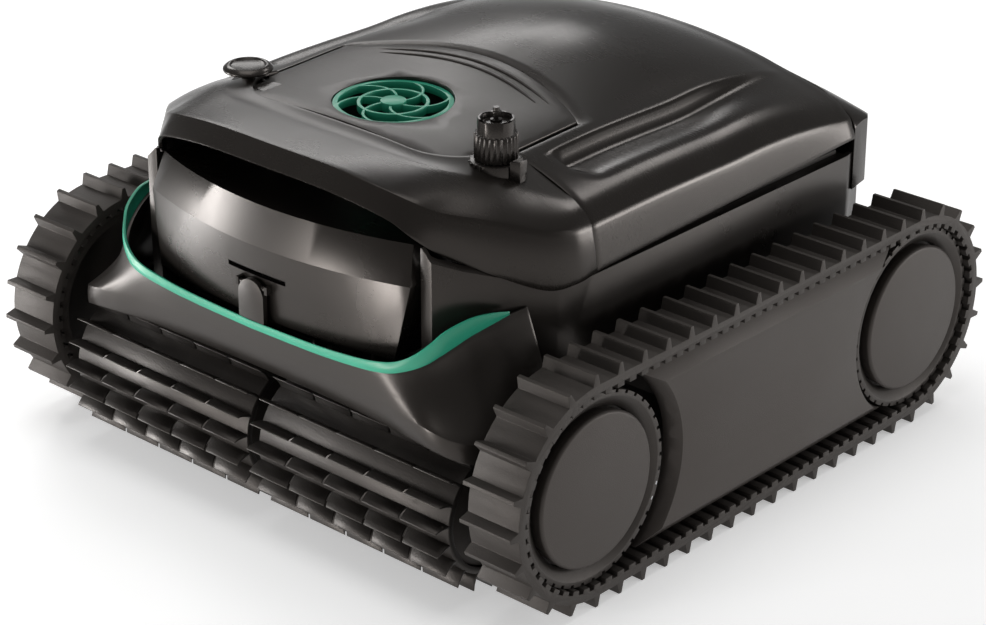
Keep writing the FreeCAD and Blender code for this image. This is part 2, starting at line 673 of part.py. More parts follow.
def make_deck():
    low, high = mm("hull_top_z") + 0.1, 196
    ring = prism(plan_half(deck_plan(), low), Vector(0, 0, high - low))
    room = prism(plan_half(shrink(deck_plan(), mm("deck_wall")), low - 1), Vector(0, 0, high))
    shelf = prism(plan_half([(0, -141), (106, -141), (107, -178), (113, -178), (123, -165), (135, -144),
                             (149, -117), (0, -117)], low), Vector(0, 0, mm("deck_wall")))
    above = Part.makeBox(400, 400, 80, Vector(-200, -97, mm("deck_top_z")))
    outside = Part.makeBox(500, 500, 300, Vector(-250, -250, 0)).cut(skin_solid(mm("skin_wall") + 0.2))
    outside = outside.cut(lower_edge())
    seat = prism(plan_half([(0, -52), (154.5, -52), (154.5, 141), (0, 141)], mm("deck_top_z") - 4),
                 Vector(0, 0, 4))
    seat = seat.cut(prism(plan_half([(0, -44), (144, -44), (144, 132), (0, 132)], low),
                          Vector(0, 0, 100)))
    wall = ring.cut(room).cut(above).cut(outside)
    keep("deck", feature("deck", wall.fuse([seat, shelf]).removeSplitter()))


# ---------------------------------------------------------------- upper skin
CROWN = [(-215, 227), (-187, 228.5), (-150, 229), (-91, 229), (-37, 230.5), (0, 235), (30, 238),
         (60, 238), (91, 234.5), (120, 228), (148, 218), (165, 207), (185, 186), (210, 150)]
FLANK_DROP = [(-230, 9), (-37, 8), (30, 17), (148, 11), (210, 10)]


def skin_section(y, inset):
    """The skin's cross-section: crowned top, shoulder, slanted flank and upright lower side."""
    crown = between(CROWN, y) - inset
    shoulder = crown - between(FLANK_DROP, y)
    fall = max(8, shoulder - 172)
    right = [(0, crown), (55, crown - (crown - shoulder) * 0.3), (100 - inset * 0.5, shoulder)]
    right += [(x - inset, shoulder - share * fall)
              for x, share in ((122, 0.13), (141, 0.3), (152, 0.52), (156.5, 1))]
    floor = 60
    points = [Vector(-x, y, z) for x, z in reversed(right[1:])] + [Vector(x, y, z) for x, z in right]
    low_left = Vector(-(157 - inset), y, floor)
    low_right = Vector(157 - inset, y, floor)
    return Part.Wire([spline(points), line(points[-1], low_right), line(low_right, low_left),
                      line(low_left, points[0])])


def skin_plan(inset):
    """Plan outline of the skin, as one face at z = 0."""
    corners = [(89, -189), (104, -182), (114, -170), (135, -148), (150, -126), (157.5, -96),
               (157.5, 138), (152, 165), (138, 184), (116, 194)]
    nose, tail = -197 + inset, 199 - inset
    right = [Vector(x - inset, y + (inset if y < 0 else -inset), 0) for x, y in corners]
    left = [Vector(-point.x, point.y, 0) for point in right]
    front = arc(left[0], Vector(0, nose, 0), right[0])
    rear = arc(right[-1], Vector(0, tail, 0), left[-1])
    side = [line(here, there) for here, there in zip(right, right[1:])]
    twin = [line(there, here) for here, there in zip(left, left[1:])]
    return Part.Face(Part.Wire([front] + side + [rear] + twin[::-1]))


SKINS = {}


def skin_solid(inset):
    """The whole upper body as a solid, moved inwards by inset."""
    if inset not in SKINS:
        stations = [-215 + 21 * step for step in range(21)]
        loft = Part.makeLoft([skin_section(y, inset) for y in stations], True, False, False)
        nose = prism([Vector(-200, -186 + inset, 230 - inset), Vector(-200, -197 + inset, 218),
                      Vector(-200, -260, 218), Vector(-200, -260, 300), Vector(-200, -186 + inset, 300)],
                     Vector(400, 0, 0))
        SKINS[inset] = loft.common(skin_plan(inset).extrude(Vector(0, 0, 300))).cut(nose)
    return SKINS[inset]


def tongue(gap):
    """The dish panel's footprint: flat front, rounded corners, arched rear edge."""
    half, corner = mm("tongue_half_width") + gap, mm("dish_corner_x")
    front, turn_y = mm("dish_front_y") - gap, mm("dish_corner_y")
    arc_y, end_y = mm("dish_arc_y") + gap, mm("dish_arc_end_y") + gap
    round_x, round_y = corner + (half - corner) * 0.72, front + (turn_y - front) * 0.3
    points = [Vector(corner, front, 0), Vector(half, turn_y, 0), Vector(half, end_y, 0)]
    left = [Vector(-point.x, point.y, 0) for point in points]
    edges = [line(left[0], points[0]), arc(points[0], Vector(round_x, round_y, 0), points[1]),
             line(points[1], points[2]), arc(points[2], Vector(0, arc_y, 0), left[2]),
             line(left[2], left[1]), arc(left[1], Vector(-round_x, round_y, 0), left[0])]
    return Part.Face(Part.Wire(edges)).extrude(Vector(0, 0, 300))


def skin_shell():
    return skin_solid(0).cut(skin_solid(mm("skin_wall")))


def lower_edge():
    """The space below the skin's lower edge, which sweeps up to the hand opening."""
    rim = [(0, 219.5), (50, 218), (89, 211), (103, 200), (113, 190), (135, 176), (150, 165.5)]
    front = prism([Vector(x, -260, z) for x, z in rim] + [Vector(170, -260, 165.5),
                  Vector(170, -260, 40), Vector(-170, -260, 40), Vector(-170, -260, 165.5)]
                  + [Vector(-x, -260, z) for x, z in reversed(rim[1:])], Vector(0, 144, 0))
    middle = prism([Vector(-200, -116, 165.5), Vector(-200, -90, 169), Vector(-200, 60, 173),
                    Vector(-200, 147, 177), Vector(-200, 147, 40), Vector(-200, -116, 40)],
                   Vector(400, 0, 0))
    return front.fuse(middle)


def side_groove(wall):
    """The long hollow along each shoulder of the lid, or with a wall the room it takes inside."""
    start = -68 - wall
    slope = Vector(0, 206 + 2 * wall, -17)
    right = prism([Vector(104 - wall, start, 240), Vector(104 - wall, start, 226 - wall),
                   Vector(113 - wall, start, 213.5 - wall), Vector(126, start, 208.5 - wall),
                   Vector(137 + wall, start, 207.5 - wall), Vector(141 + wall, start, 240)], slope)
    return right.fuse(right.mirror(Vector(), Vector(1, 0, 0)))


def make_skins():
    shell = skin_shell().cut(lower_edge())
    hinge_line = Vector(-250, mm("hinge_y"), mm("hinge_z"))
    across = Vector(1, 0, 0)
    lid_drum = Part.makeCylinder(mm("cowl_seam_radius"), 500, hinge_line, across)
    cowl_drum = Part.makeCylinder(mm("cowl_seam_radius") + mm("seam_gap"), 500, hinge_line, across)
    fitting = Vector(mm("fitting_x"), mm("fitting_y"), 190)
    button_eye = Part.makeCylinder(mm("button_base_radius") + 0.2, 60, Vector(-fitting.x, fitting.y, 190))
    cap_eye = Part.makeCylinder(mm("cap_base_radius") + 0.2, 60, fitting)
    lid_gap = mm("lid_seam_y")
    in_front = Part.makeBox(500, 400 + lid_gap, 400, Vector(-250, -400, 0))
    cowl = shell.common(in_front).cut(cowl_drum).cut(tongue(0.4)).cut(button_eye).cut(cap_eye)
    keep("front_cowl", feature("front_cowl", cowl))
    outlet = Part.makeCylinder(mm("outlet_radius") + 0.5, 100, Vector(0, mm("outlet_y"), 190))
    dish = shell.common(tongue(0)).cut(outlet).cut(button_eye).cut(cap_eye)
    keep("dish_panel", feature("dish_panel", dish))
    side_window = Part.makeBox(2 * mm("tongue_half_width"), 120, 300, Vector(-mm("tongue_half_width"),
                                                                        -157, 0))
    outer = skin_solid(0).cut(side_groove(0))
    inner = skin_solid(mm("skin_wall")).cut(side_groove(mm("skin_wall")))
    lid = outer.cut(inner).cut(lower_edge()).common(in_front).common(lid_drum)
    lid = lid.cut(tongue(mm("seam_gap"))).cut(side_window)
    keep("top_cover", feature("top_cover", lid.fuse(lid_arms())))
    make_tail(shell, hinge_line, across)


def lid_arms():
    """Two knuckles under the lid's rear edge that swing on the hinge pin."""
    pin = Vector(0, mm("hinge_y"), mm("hinge_z"))
    width = mm("lug_width")
    shapes = []
    for x in (mm("arm_x"), -mm("arm_x") - width):
        eye = Part.makeCylinder(mm("knuckle_radius"), width, Vector(x, pin.y, pin.z), Vector(1, 0, 0))
        strap = prism([Vector(x, pin.y - 0.5, pin.z - 3.6), Vector(x, pin.y - 0.5, pin.z + 3.6),
                       Vector(x, pin.y - 30, pin.z + 20), Vector(x, pin.y - 30, pin.z + 8)],
                      Vector(width, 0, 0))
        bore = Part.makeCylinder(mm("hinge_pin_radius") + mm("running_gap"), width + 4,
                                 Vector(x - 2, pin.y, pin.z), Vector(1, 0, 0))
        shapes.append(eye.fuse(strap).cut(bore).common(skin_solid(1.5)))
    return shapes[0].fuse(shapes[1])


def make_tail(shell, hinge_line, across):
    """The tail piece behind the lid, with the lugs that hold the hinge pin."""
    behind = Part.makeBox(500, 200, 400, Vector(-250, mm("lid_seam_y") + 1, 0))
    relief = Part.makeCylinder(mm("tail_relief_radius"), 500, hinge_line, across)
    skirt = Part.makeBox(500, 300, 143, Vector(-250, 0, 0))
    tail = shell.common(behind).cut(relief).cut(skirt)
    pin = Vector(0, mm("hinge_y"), mm("hinge_z"))
    width = mm("lug_width")
    lid_room = Part.makeBox(500, 60, 400, Vector(-250, mm("lid_seam_y") - 59, 0))
    lid_room = lid_room.cut(skin_solid(mm("skin_wall") + 0.6))
    inside = skin_solid(mm("skin_wall") - 0.5)
    near, far = mm("arm_x") - width - mm("arm_gap"), mm("arm_x") + width + mm("arm_gap")
    for x in (-far - width, -near - width, near, far):
        eye = Part.makeCylinder(mm("knuckle_radius") - 0.2, width, Vector(x, pin.y, pin.z), across)
        strap = prism([Vector(x, pin.y + 1, pin.z + 3), Vector(x, pin.y - 1, pin.z - 3.4),
                       Vector(x, pin.y + 12, pin.z - 22), Vector(x, pin.y + 40, pin.z - 30),
                       Vector(x, pin.y + 24, pin.z - 8)], Vector(width, 0, 0))
        bore = Part.makeCylinder(mm("hinge_pin_radius"), width + 4, Vector(x - 2, pin.y, pin.z), across)
        tail = tail.fuse(eye.fuse(strap).common(inside).cut(lid_room)).cut(bore)
    keep("rear_trim", feature("rear_trim", tail.removeSplitter()))
    keep("lid_hinge_pin", rod("lid_hinge_pin", "hinge_pin_radius", "-hinge_pin_half", "hinge_pin_half",
                              "hinge_y", "hinge_z"))


def make_lid_seal():
    """A soft gasket on the deck's upper rim, under the lid."""
    low, high = mm("deck_top_z") + 0.1, mm("deck_top_z") + 3
    outer = [(0, -50), (149, -50), (149, 138), (0, 138)]
    inner = [(0, -46), (145, -46), (145, 134), (0, 134)]
    ring = prism(plan_half(outer, low), Vector(0, 0, high - low))
    ring = ring.cut(prism(plan_half(inner, low - 1), Vector(0, 0, 10)))
    keep("lid_seal", feature("lid_seal", ring))


# ---------------------------------------------------------------- front box, trim, skirt
def dee(half, front, shoulder, z, back):
    """A front-bowed outline: an arc across the front and straight sides to the back."""
    left, right = Vector(-half, shoulder, z), Vector(half, shoulder, z)
    rear_left, rear_right = Vector(-half, back, z), Vector(half, back, z)
    return Part.Wire([arc(left, Vector(0, front, z), right), line(right, rear_right),
                      line(rear_right, rear_left), line(rear_left, left)])


def box_form(inset):
    low, crease, rim = mm("box_low_z"), mm("box_crease_z"), mm("box_rim_z")
    back = mm("box_back_y") + (10 if inset else 0)
    lower = Part.makeLoft([dee(95 - inset, -201 + inset, -190 + inset, low - (1 if inset else 0), back),
                           dee(104 - inset, -204 + inset, -186 + inset, crease, back)], True, True)
    upper = Part.makeLoft([dee(104 - inset, -204 + inset, -186 + inset, crease, back),
                           dee(100 - inset, -197 + inset, -179 + inset, rim - (0 if not inset else 2.5),
                               back)], True, True)
    return lower.fuse(upper)


def make_front_box():
    """The open-topped box behind the nose, with a slit and two lugs for the latch tab's pin."""
    half, low, high = mm("slit_half_width"), mm("slit_low_z"), mm("slit_high_z")
    slit = Part.makeBox(2 * half, 5, high - low, Vector(-half, -204.6, low))
    shell = box_form(0).cut(box_form(mm("box_wall"))).cut(slit)
    inner, outer, tall = mm("tab_lug_inner_x"), mm("tab_lug_outer_x"), mm("tab_lug_half_height")
    y, z = mm("tab_pivot_y"), mm("tab_pivot_z")
    for x in (inner, -outer):
        lug = Part.makeBox(outer - inner, 4.6, 2 * tall, Vector(x, y - tall + 0.6, z - tall))
        shell = shell.fuse(lug)
    hole = Part.makeCylinder(mm("tab_pin_radius") + mm("running_gap"), 2 * outer + 2,
                             Vector(-outer - 1, y, z), Vector(1, 0, 0))
    keep("front_box", feature("front_box", shell.cut(hole).removeSplitter()))


def make_latch_tab():
    """The thumb tab: a round-topped plate with its pivot pin across the back."""
    half, low, crown_z = mm("tab_half_width"), mm("tab_low_z"), mm("tab_crown_z")
    front, depth = mm("tab_front_y"), mm("tab_back_y") - mm("tab_front_y")
    plate = Part.makeBox(2 * half, depth, crown_z - low, Vector(-half, front, low))
    crown = Part.makeCylinder(half, depth, Vector(0, front, crown_z), Vector(0, 1, 0))
    reach = mm("tab_lug_outer_x")
    pin = Part.makeCylinder(mm("tab_pin_radius"), 2 * reach,
                            Vector(-reach, mm("tab_pivot_y"), mm("tab_pivot_z")), Vector(1, 0, 0))
    keep("latch_tab", feature("latch_tab", plate.fuse([crown, pin]).removeSplitter()))


def rim_plan(spread):
    """Half plan of the skirt's upper edge: broad front, rounded corner, slanted cheek."""
    corners = [(90, -206), (106, -201), (119, -190), (129, -170), (140, -145), (147, -128)]
    return [(x + spread * 0.8, y - spread * 0.6) for x, y in corners]


def foot_plan(spread):
    """Half plan of the skirt's lower lip."""
    corners = [(120, -206), (141, -204), (155, -196), (164, -182), (169.5, -160), (169.8, -128)]
    return [(x + spread * 0.8, y - spread * 0.6) for x, y in corners]


def skirt_wire(corners, z, nose):
    right = [Vector(x, y, z) for x, y in corners]
    left = [Vector(-point.x, point.y, z) for point in right]
    bend = spline(right)
    twin = spline(left[::-1])
    return Part.Wire([twin, arc(left[0], Vector(0, nose, z), right[0]), bend, line(right[-1], left[-1])])


def skirt_form(inset, low, high):
    lip = skirt_wire(foot_plan(-inset), low, -208 + inset)
    top = skirt_wire(rim_plan(-inset), high, -207 + inset)
    return Part.makeLoft([lip, top], True, True)


def trim_band(low_rows, high_rows):
    """A block seen from the front, between a lower and an upper edge that climb to the sides."""
    low = [Vector(x, -260, z) for x, z in low_rows]
    high = [Vector(x, -260, z) for x, z in high_rows]
    twin_low = [Vector(-point.x, point.y, point.z) for point in low[1:]]
    twin_high = [Vector(-point.x, point.y, point.z) for point in high[1:]]
    return prism(low + high[::-1] + twin_high + twin_low[::-1], Vector(0, 122, 0))


TRIM_LOW = [(0, 117.5), (50, 119), (80, 123.5), (100, 129), (116, 135), (130, 145), (141, 155)]
TRIM_HIGH = [(0, 127.5), (50, 129.5), (80, 135.5), (100, 144), (116, 151), (130, 156), (141, 157.5)]


def make_skirt():
    low, high, wall = mm("skirt_low_z"), mm("skirt_high_z"), mm("skirt_wall")
    form = skirt_form(0, low, high)
    shell = form.cut(skirt_form(wall, low - 0.01, high + 0.01))
    shell = shell.cut(Part.makeBox(500, 60, 300, Vector(-250, -130.5, 0)))
    above = trim_band([(x, z + 1.6) for x, z in TRIM_LOW], [(x, 220) for x, z in TRIM_HIGH])
    keep("nose_skirt", feature("nose_skirt", shell.cut(above)))
    backing = skirt_form(-mm("trim_gap"), low - 0.01, high + 0.01)
    proud = skirt_form(-mm("trim_proud"), low, high).cut(backing)
    band = proud.common(trim_band(TRIM_LOW, TRIM_HIGH))
    keep("green_trim", feature("green_trim", band))


# ---------------------------------------------------------------- outlet and pump
def make_outlet():
    y = mm("outlet_y")
    low, high = mm("grille_low_z"), mm("grille_high_z")
    tall = high - low
    outer = mm("outlet_radius")

    def ring(big, small):
        return Part.makeCylinder(big, tall, Vector(0, y, low)).cut(
            Part.makeCylinder(small, tall + 2, Vector(0, y, low - 1)))

    grille = ring(outer, outer - 3).fuse(ring(21, 19))
    hub = Part.makeCylinder(7.5, tall + 0.8, Vector(0, y, low))
    grille = grille.fuse(hub)
    for vane in range(6):
        start = math.radians(60 * vane)
        swept = [Vector(radius * math.cos(start + twist), y + radius * math.sin(start + twist), low)
                 for radius, twist in ((6, 0.0), (20, 0.35), (33.5, 1.0))]
        rib = vane_rib(swept, 1.5, tall)
        grille = grille.fuse(rib)
    keep("outlet_grille", feature("outlet_grille", grille.removeSplitter()))
    duct_outer = mm("duct_inner") + mm("duct_wall")
    duct = Part.makeCylinder(duct_outer, low - 1 - mm("duct_low_z"), Vector(0, y, mm("duct_low_z")))
    duct = duct.cut(Part.makeCylinder(mm("duct_inner"), 200, Vector(0, y, mm("duct_low_z") - 1)))
    spider = Part.makeBox(2 * mm("duct_inner") + 2, 4, 8, Vector(-mm("duct_inner") - 1, y - 2,
                                                            mm("duct_low_z")))
    spider = spider.cut(Part.makeCylinder(mm("motor_radius"), 100, Vector(0, y, mm("duct_low_z") - 10)))
    keep("pump_duct", feature("pump_duct", duct.fuse(spider).removeSplitter()))


def vane_rib(points, width, tall):
    """A curved upright rib whose centre line is an arc through three points."""
    start, middle, end = points
    centre = arc(start, middle, end).Curve.Center
    radius = (start - centre).Length
    sides = []
    for grow in (width / 2, -width / 2):
        sides.append([centre + (point - centre) * ((radius + grow) / radius) for point in points])
    outer, inner = sides
    face = Part.Face(Part.Wire([arc(*outer), line(outer[2], inner[2]), arc(inner[2], inner[1], inner[0]),
                                line(inner[0], outer[0])]))
    return face.extrude(Vector(0, 0, tall))


def make_pump():
    y = mm("outlet_y")
    low, high = mm("impeller_low_z"), mm("impeller_high_z")
    bore = mm("pump_shaft_radius")
    hub = Part.makeCylinder(mm("impeller_hub"), high - low, Vector(0, y, low))
    disc = Part.makeCylinder(mm("impeller_radius"), 2, Vector(0, y, low))
    impeller = hub.fuse(disc)
    count = int(mm("impeller_blades"))
    for blade in range(count):
        start = 2 * math.pi * blade / count
        points = [Vector(radius * math.cos(start - twist), y + radius * math.sin(start - twist), low)
                  for radius, twist in ((7, 0.0), (20, 0.3), (32.5, 0.8))]
        impeller = impeller.fuse(vane_rib(points, 2.0, high - low - 3))
    impeller = impeller.cut(Part.makeCylinder(bore, 100, Vector(0, y, low - 40)))
    keep("impeller", feature("impeller", impeller.removeSplitter()))
    keep("pump_shaft", post("pump_shaft", "pump_shaft_radius", "motor_high_z - 20", "impeller_high_z",
                            "0", "outlet_y"))
    can = post("motor_can", "motor_radius", "motor_low_z", "motor_high_z", "0", "outlet_y")
    socket = post("motor_socket", "pump_shaft_radius + running_gap", "motor_high_z - 20.5",
                  "motor_high_z + 5", "0", "outlet_y")
    keep("pump_motor", cut("pump_motor", can, socket))


def make_electronics():
    outer = block("case_outer", ("-case_half_width", "case_front_y", "hull_floor_z + hull_wall"),
                  ("case_half_width", "case_rear_y", "case_high_z"))
    room = block("case_room", ("-case_half_width + case_wall", "case_front_y + case_wall",
                               "hull_floor_z + hull_wall - 1"),
                 ("case_half_width - case_wall", "case_rear_y - case_wall", "case_high_z - case_wall"))
    keep("control_case", cut("control_case", outer, room))
    cells = []
    floor = "hull_floor_z + hull_wall + cell_radius"
    for column in (-1, 0):
        for row in (-1, 1):
            for layer in (0, 1):
                start = f"{column} * (cell_length + 2) + 1"
                cells.append(rod(f"cell_{column + 1}_{row + 1}_{layer}", "cell_radius", start,
                                 f"{start} + cell_length",
                                 f"(case_front_y + case_rear_y) / 2 + {row} * (cell_radius + 0.5)",
                                 f"{floor} + {layer} * (2 * cell_radius + 0.5) + 0.3"))
    pack = doc.addObject("Part::Compound", "battery_cells")
    pack.Links = cells
    keep("battery_cells", pack)
    board = block("control_board", ("-case_half_width + case_wall + 4", "case_front_y + case_wall + 3",
                                    "case_high_z - case_wall - 8"),
                  ("case_half_width - case_wall - 4", "case_rear_y - case_wall - 3",
                   "case_high_z - case_wall - 6.4"))
    keep("control_board", board)


# ---------------------------------------------------------------- filter basket and inlet
def make_basket():
    outer = block("basket_outer", ("-basket_half_width", "basket_front_y", "basket_low_z"),
                  ("basket_half_width", "basket_rear_y", "basket_high_z"))
    rim = block("basket_rim", ("-basket_half_width - basket_rim", "basket_front_y - basket_rim",
                               "basket_high_z - 3"),
                ("basket_half_width + basket_rim", "basket_rear_y + basket_rim", "basket_high_z"))
    room = block("basket_room", ("-basket_half_width + basket_wall", "basket_front_y + basket_wall",
                                 "basket_low_z + basket_wall"),
                 ("basket_half_width - basket_wall", "basket_rear_y - basket_wall", "basket_high_z + 1"))
    mouth = block("basket_mouth", ("-inlet_half_width + inlet_wall", "inlet_front_y + inlet_wall",
                                   "basket_low_z - 1"),
                  ("inlet_half_width - inlet_wall", "inlet_rear_y - inlet_wall",
                   "basket_low_z + basket_wall + 1"))
    windows = []
    for index in range(3):
        left = f"-basket_half_width + 14 + {index} * 70"
        windows.append(block(f"basket_window_{index}", (left, "basket_front_y - 1", "basket_low_z + 14"),
                             (f"{left} + 62", "basket_rear_y + 1", "basket_high_z - 16")))
    for index in range(2):
        start = f"basket_front_y + 14 + {index} * 74"
        windows.append(block(f"basket_port_{index}", ("-basket_half_width - 1", start, "basket_low_z + 14"),
                             ("basket_half_width + 1", f"{start} + 66", "basket_high_z - 16")))
    keep("filter_basket", cut("filter_basket", fuse("basket_form", outer, rim), room, mouth, *windows))
    wall = "basket_wall + mesh_wall"
    skin = block("mesh_outer", ("-basket_half_width + basket_wall", "basket_front_y + basket_wall",
                                "basket_low_z + basket_wall + 0.1"),
                 ("basket_half_width - basket_wall", "basket_rear_y - basket_wall", "basket_high_z - 8"))
    hollow = block("mesh_room", (f"-basket_half_width + {wall}", f"basket_front_y + {wall}",
                                 "basket_low_z"),
                   (f"basket_half_width - ({wall})", f"basket_rear_y - ({wall})", "basket_high_z"))
    keep("filter_mesh", cut("filter_mesh", skin, hollow))
    tube = block("inlet_tube", ("-inlet_half_width", "inlet_front_y", "hull_floor_z"),
                 ("inlet_half_width", "inlet_rear_y", "basket_low_z"))
    way = block("inlet_way", ("-inlet_half_width + inlet_wall", "inlet_front_y + inlet_wall",
                              "hull_floor_z - 1"),
                ("inlet_half_width - inlet_wall", "inlet_rear_y - inlet_wall", "basket_low_z + 1"))
    keep("inlet_port", cut("inlet_port", tube, way))
    leaf = block("flap_leaf", ("-inlet_half_width + 1", "inlet_front_y", "basket_low_z + basket_wall + 0.4"),
                 ("inlet_half_width - 1", "inlet_rear_y + 1",
                  "basket_low_z + basket_wall + 0.4 + flap_thickness"))
    barrel = rod("flap_barrel", "flap_hinge_radius", "-inlet_half_width + 1", "inlet_half_width - 1",
                 "inlet_rear_y + 2", "basket_low_z + basket_wall + 0.5 + flap_hinge_radius")
    keep("inlet_flap", fuse("inlet_flap", leaf, barrel))


# ---------------------------------------------------------------- shoulder fittings
def make_fittings():
    base = doc.addObject("Part::Prism", "button_base_hex")
    base.Polygon = 6
    bind(base, {"Circumradius": "button_base_radius", "Height": "button_base_high_z - button_base_low_z",
                "Placement.Base.x": "-fitting_x", "Placement.Base.y": "fitting_y",
                "Placement.Base.z": "button_base_low_z"})
    stem = post("button_stem_way", "4.2", "button_base_low_z - 1", "button_base_high_z + 1",
                "-fitting_x", "fitting_y")
    keep("button_base", cut("button_base", base, stem))
    disc = post("button_disc", "button_radius", "button_low_z", "button_high_z", "-fitting_x", "fitting_y")
    stalk = post("button_stalk", "4", "button_base_low_z + 2", "button_low_z", "-fitting_x", "fitting_y")
    dimple = post("button_dimple", "button_radius - 3", "button_high_z - 1.2", "button_high_z + 1",
                  "-fitting_x", "fitting_y")
    keep("power_button", cut("power_button", fuse("button_form", disc, stalk), dimple))
    socket = post("cap_socket", "cap_base_radius", "cap_base_low_z", "cap_base_high_z",
                  "fitting_x", "fitting_y")
    well = post("cap_socket_well", "cap_base_radius - 5", "cap_base_low_z + 3", "cap_base_high_z + 1",
                "fitting_x", "fitting_y")
    keep("charge_socket", cut("charge_socket", socket, well))
    body = post("cap_body", "cap_radius", "cap_low_z", "cap_high_z", "fitting_x", "fitting_y")
    pin = post("cap_pin", "cap_pin_radius", "cap_high_z", "cap_pin_top_z", "fitting_x", "fitting_y")
    flutes = []
    for index in range(int(mm("cap_knurls"))):
        turn = 360 * index / mm("cap_knurls")
        reach = "(cap_radius + 0.5)"
        flutes.append(post(f"cap_flute_{index}", "0.9", "cap_low_z - 1", "cap_high_z - 4",
                           f"fitting_x + {reach} * cos({turn})", f"fitting_y + {reach} * sin({turn})"))
    slots = []
    for index in range(4):
        turn = math.radians(45 + 90 * index)
        slots.append(post(f"cap_slot_{index}", "2.6", "cap_high_z - 3", "cap_high_z + 1",
                          f"fitting_x + cap_radius * {math.cos(turn):.4f}",
                          f"fitting_y + cap_radius * {math.sin(turn):.4f}"))
    keep("charge_cap", cut("charge_cap", fuse("cap_form", body, pin), *flutes, *slots))


def make_screws():
    """Screws that hold the hull's floor to the deck: one group of separate solids."""
    places = [(x, y) for x in (-140, 140) for y in (-95, 0, 90, 180)]
    low = mm("hull_floor_z") - 1.6
    screws = []
    for x, y in places:
        head = Part.makeCylinder(mm("screw_head_radius"), 1.6, Vector(x, y, low))
        socket = Part.makePolygon([Vector(x + 2 * math.cos(math.radians(60 * side)),
                                          y + 2 * math.sin(math.radians(60 * side)), low)
                                   for side in range(7)])
        screws.append(head.cut(Part.Face(socket).extrude(Vector(0, 0, 1))))
    keep("case_screws", feature("case_screws", Part.makeCompound(screws)))


def write_parts():
    doc.recompute()
    for item in doc.Objects:
        if "Invalid" in item.State or "Error" in item.State:
            raise RuntimeError(f"{item.Name} ({item.Label}) did not compute: {item.State}")
    for name, item in NODES.items():
        shape = item.Shape
        if shape.isNull() or not shape.isValid() or not shape.Solids:
            raise RuntimeError(f"{name} is null, invalid or has no solid")
        shape.exportStep(f"parts/{name}.step")
        print(f"{name:20s} solids {len(shape.Solids):2d}  {shape.Volume / 1000:8.1f} cm3")
    print(len(NODES), "nodes")


make_track()
make_running_gear()
make_side_cover()
make_brush_drive()
make_gear_cover()
make_brushes()
make_hanger()
make_hull()
make_deck()
make_skins()
make_lid_seal()
make_front_box()
make_latch_tab()
make_skirt()
make_outlet()
make_pump()
make_electronics()
make_basket()
make_fittings()
make_screws()
write_parts()
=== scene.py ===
import json
import math
import bmesh
import bpy
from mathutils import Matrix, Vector


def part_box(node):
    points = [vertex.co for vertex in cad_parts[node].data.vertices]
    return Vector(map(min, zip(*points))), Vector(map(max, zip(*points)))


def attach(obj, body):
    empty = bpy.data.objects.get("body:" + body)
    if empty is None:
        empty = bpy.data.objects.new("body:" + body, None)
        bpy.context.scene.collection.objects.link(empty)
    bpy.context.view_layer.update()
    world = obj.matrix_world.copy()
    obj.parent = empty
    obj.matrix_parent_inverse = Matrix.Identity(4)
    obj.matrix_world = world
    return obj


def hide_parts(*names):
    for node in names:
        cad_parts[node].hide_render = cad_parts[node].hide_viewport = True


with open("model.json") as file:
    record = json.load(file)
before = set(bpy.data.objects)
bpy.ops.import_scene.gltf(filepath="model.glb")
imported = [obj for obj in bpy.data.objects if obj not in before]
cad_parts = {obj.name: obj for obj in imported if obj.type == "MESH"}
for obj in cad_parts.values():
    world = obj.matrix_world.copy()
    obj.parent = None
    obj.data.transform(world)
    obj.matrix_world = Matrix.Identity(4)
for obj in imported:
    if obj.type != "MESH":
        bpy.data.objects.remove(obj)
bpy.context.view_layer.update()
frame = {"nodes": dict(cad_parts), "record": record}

MM = 0.001
BODY_OF = {node: body for body, nodes in frame["record"]["behaviour"]["bodies"].items() for node in nodes}
SLOT_OF = {part["node"]: part["material_slot"] for part in frame["record"]["subparts"]}


# ---------------------------------------------------------------- materials
def shader_input(shader, name, value):
    shader.inputs[name].default_value = value


def new_finish(name, roughness, metallic=0.0, coat=0.0, specular=0.5):
    """A material with its Principled shader, whose even values are set on the shader itself."""
    material = bpy.data.materials.new(name + "_finish")
    material.use_nodes = True
    tree = material.node_tree
    shader = tree.nodes["Principled BSDF"]
    shader_input(shader, "Roughness", roughness)
    shader_input(shader, "Metallic", metallic)
    shader_input(shader, "Coat Weight", coat)
    shader_input(shader, "Coat Roughness", 0.12)
    shader_input(shader, "Specular IOR Level", specular)
    shader_input(shader, "Specular Tint", (1, 0.9, 0.83, 1))
    place = tree.nodes.new("ShaderNodeTexCoord")
    return material, tree, shader, place.outputs["Object"]


def stretched(tree, place, scale):
    mapping = tree.nodes.new("ShaderNodeMapping")
    mapping.inputs["Scale"].default_value = scale
    tree.links.new(place, mapping.inputs["Vector"])
    return mapping.outputs["Vector"]


def noise(tree, place, scale, detail=4.0, rough=0.55):
    node = tree.nodes.new("ShaderNodeTexNoise")
    node.inputs["Scale"].default_value = scale
    node.inputs["Detail"].default_value = detail
    node.inputs["Roughness"].default_value = rough
    tree.links.new(place, node.inputs["Vector"])
    return node.outputs["Fac"]


def spread(tree, value, low, high, to_low, to_high):
    """Map a value from one range to another, held at the ends."""
    node = tree.nodes.new("ShaderNodeMapRange")
    for name, number in (("From Min", low), ("From Max", high), ("To Min", to_low), ("To Max", to_high)):
        node.inputs[name].default_value = number
    tree.links.new(value, node.inputs["Value"])
    return node.outputs["Result"]


def tint(tree, value, stops):
    """A colour ramp over a value."""
    ramp = tree.nodes.new("ShaderNodeValToRGB")
    elements = ramp.color_ramp.elements
    while len(elements) < len(stops):
        elements.new(0.5)
    for element, (position, colour) in zip(elements, stops):
        element.position = position
        element.color = (*colour, 1)
    tree.links.new(value, ramp.inputs["Fac"])
    return ramp.outputs["Color"]


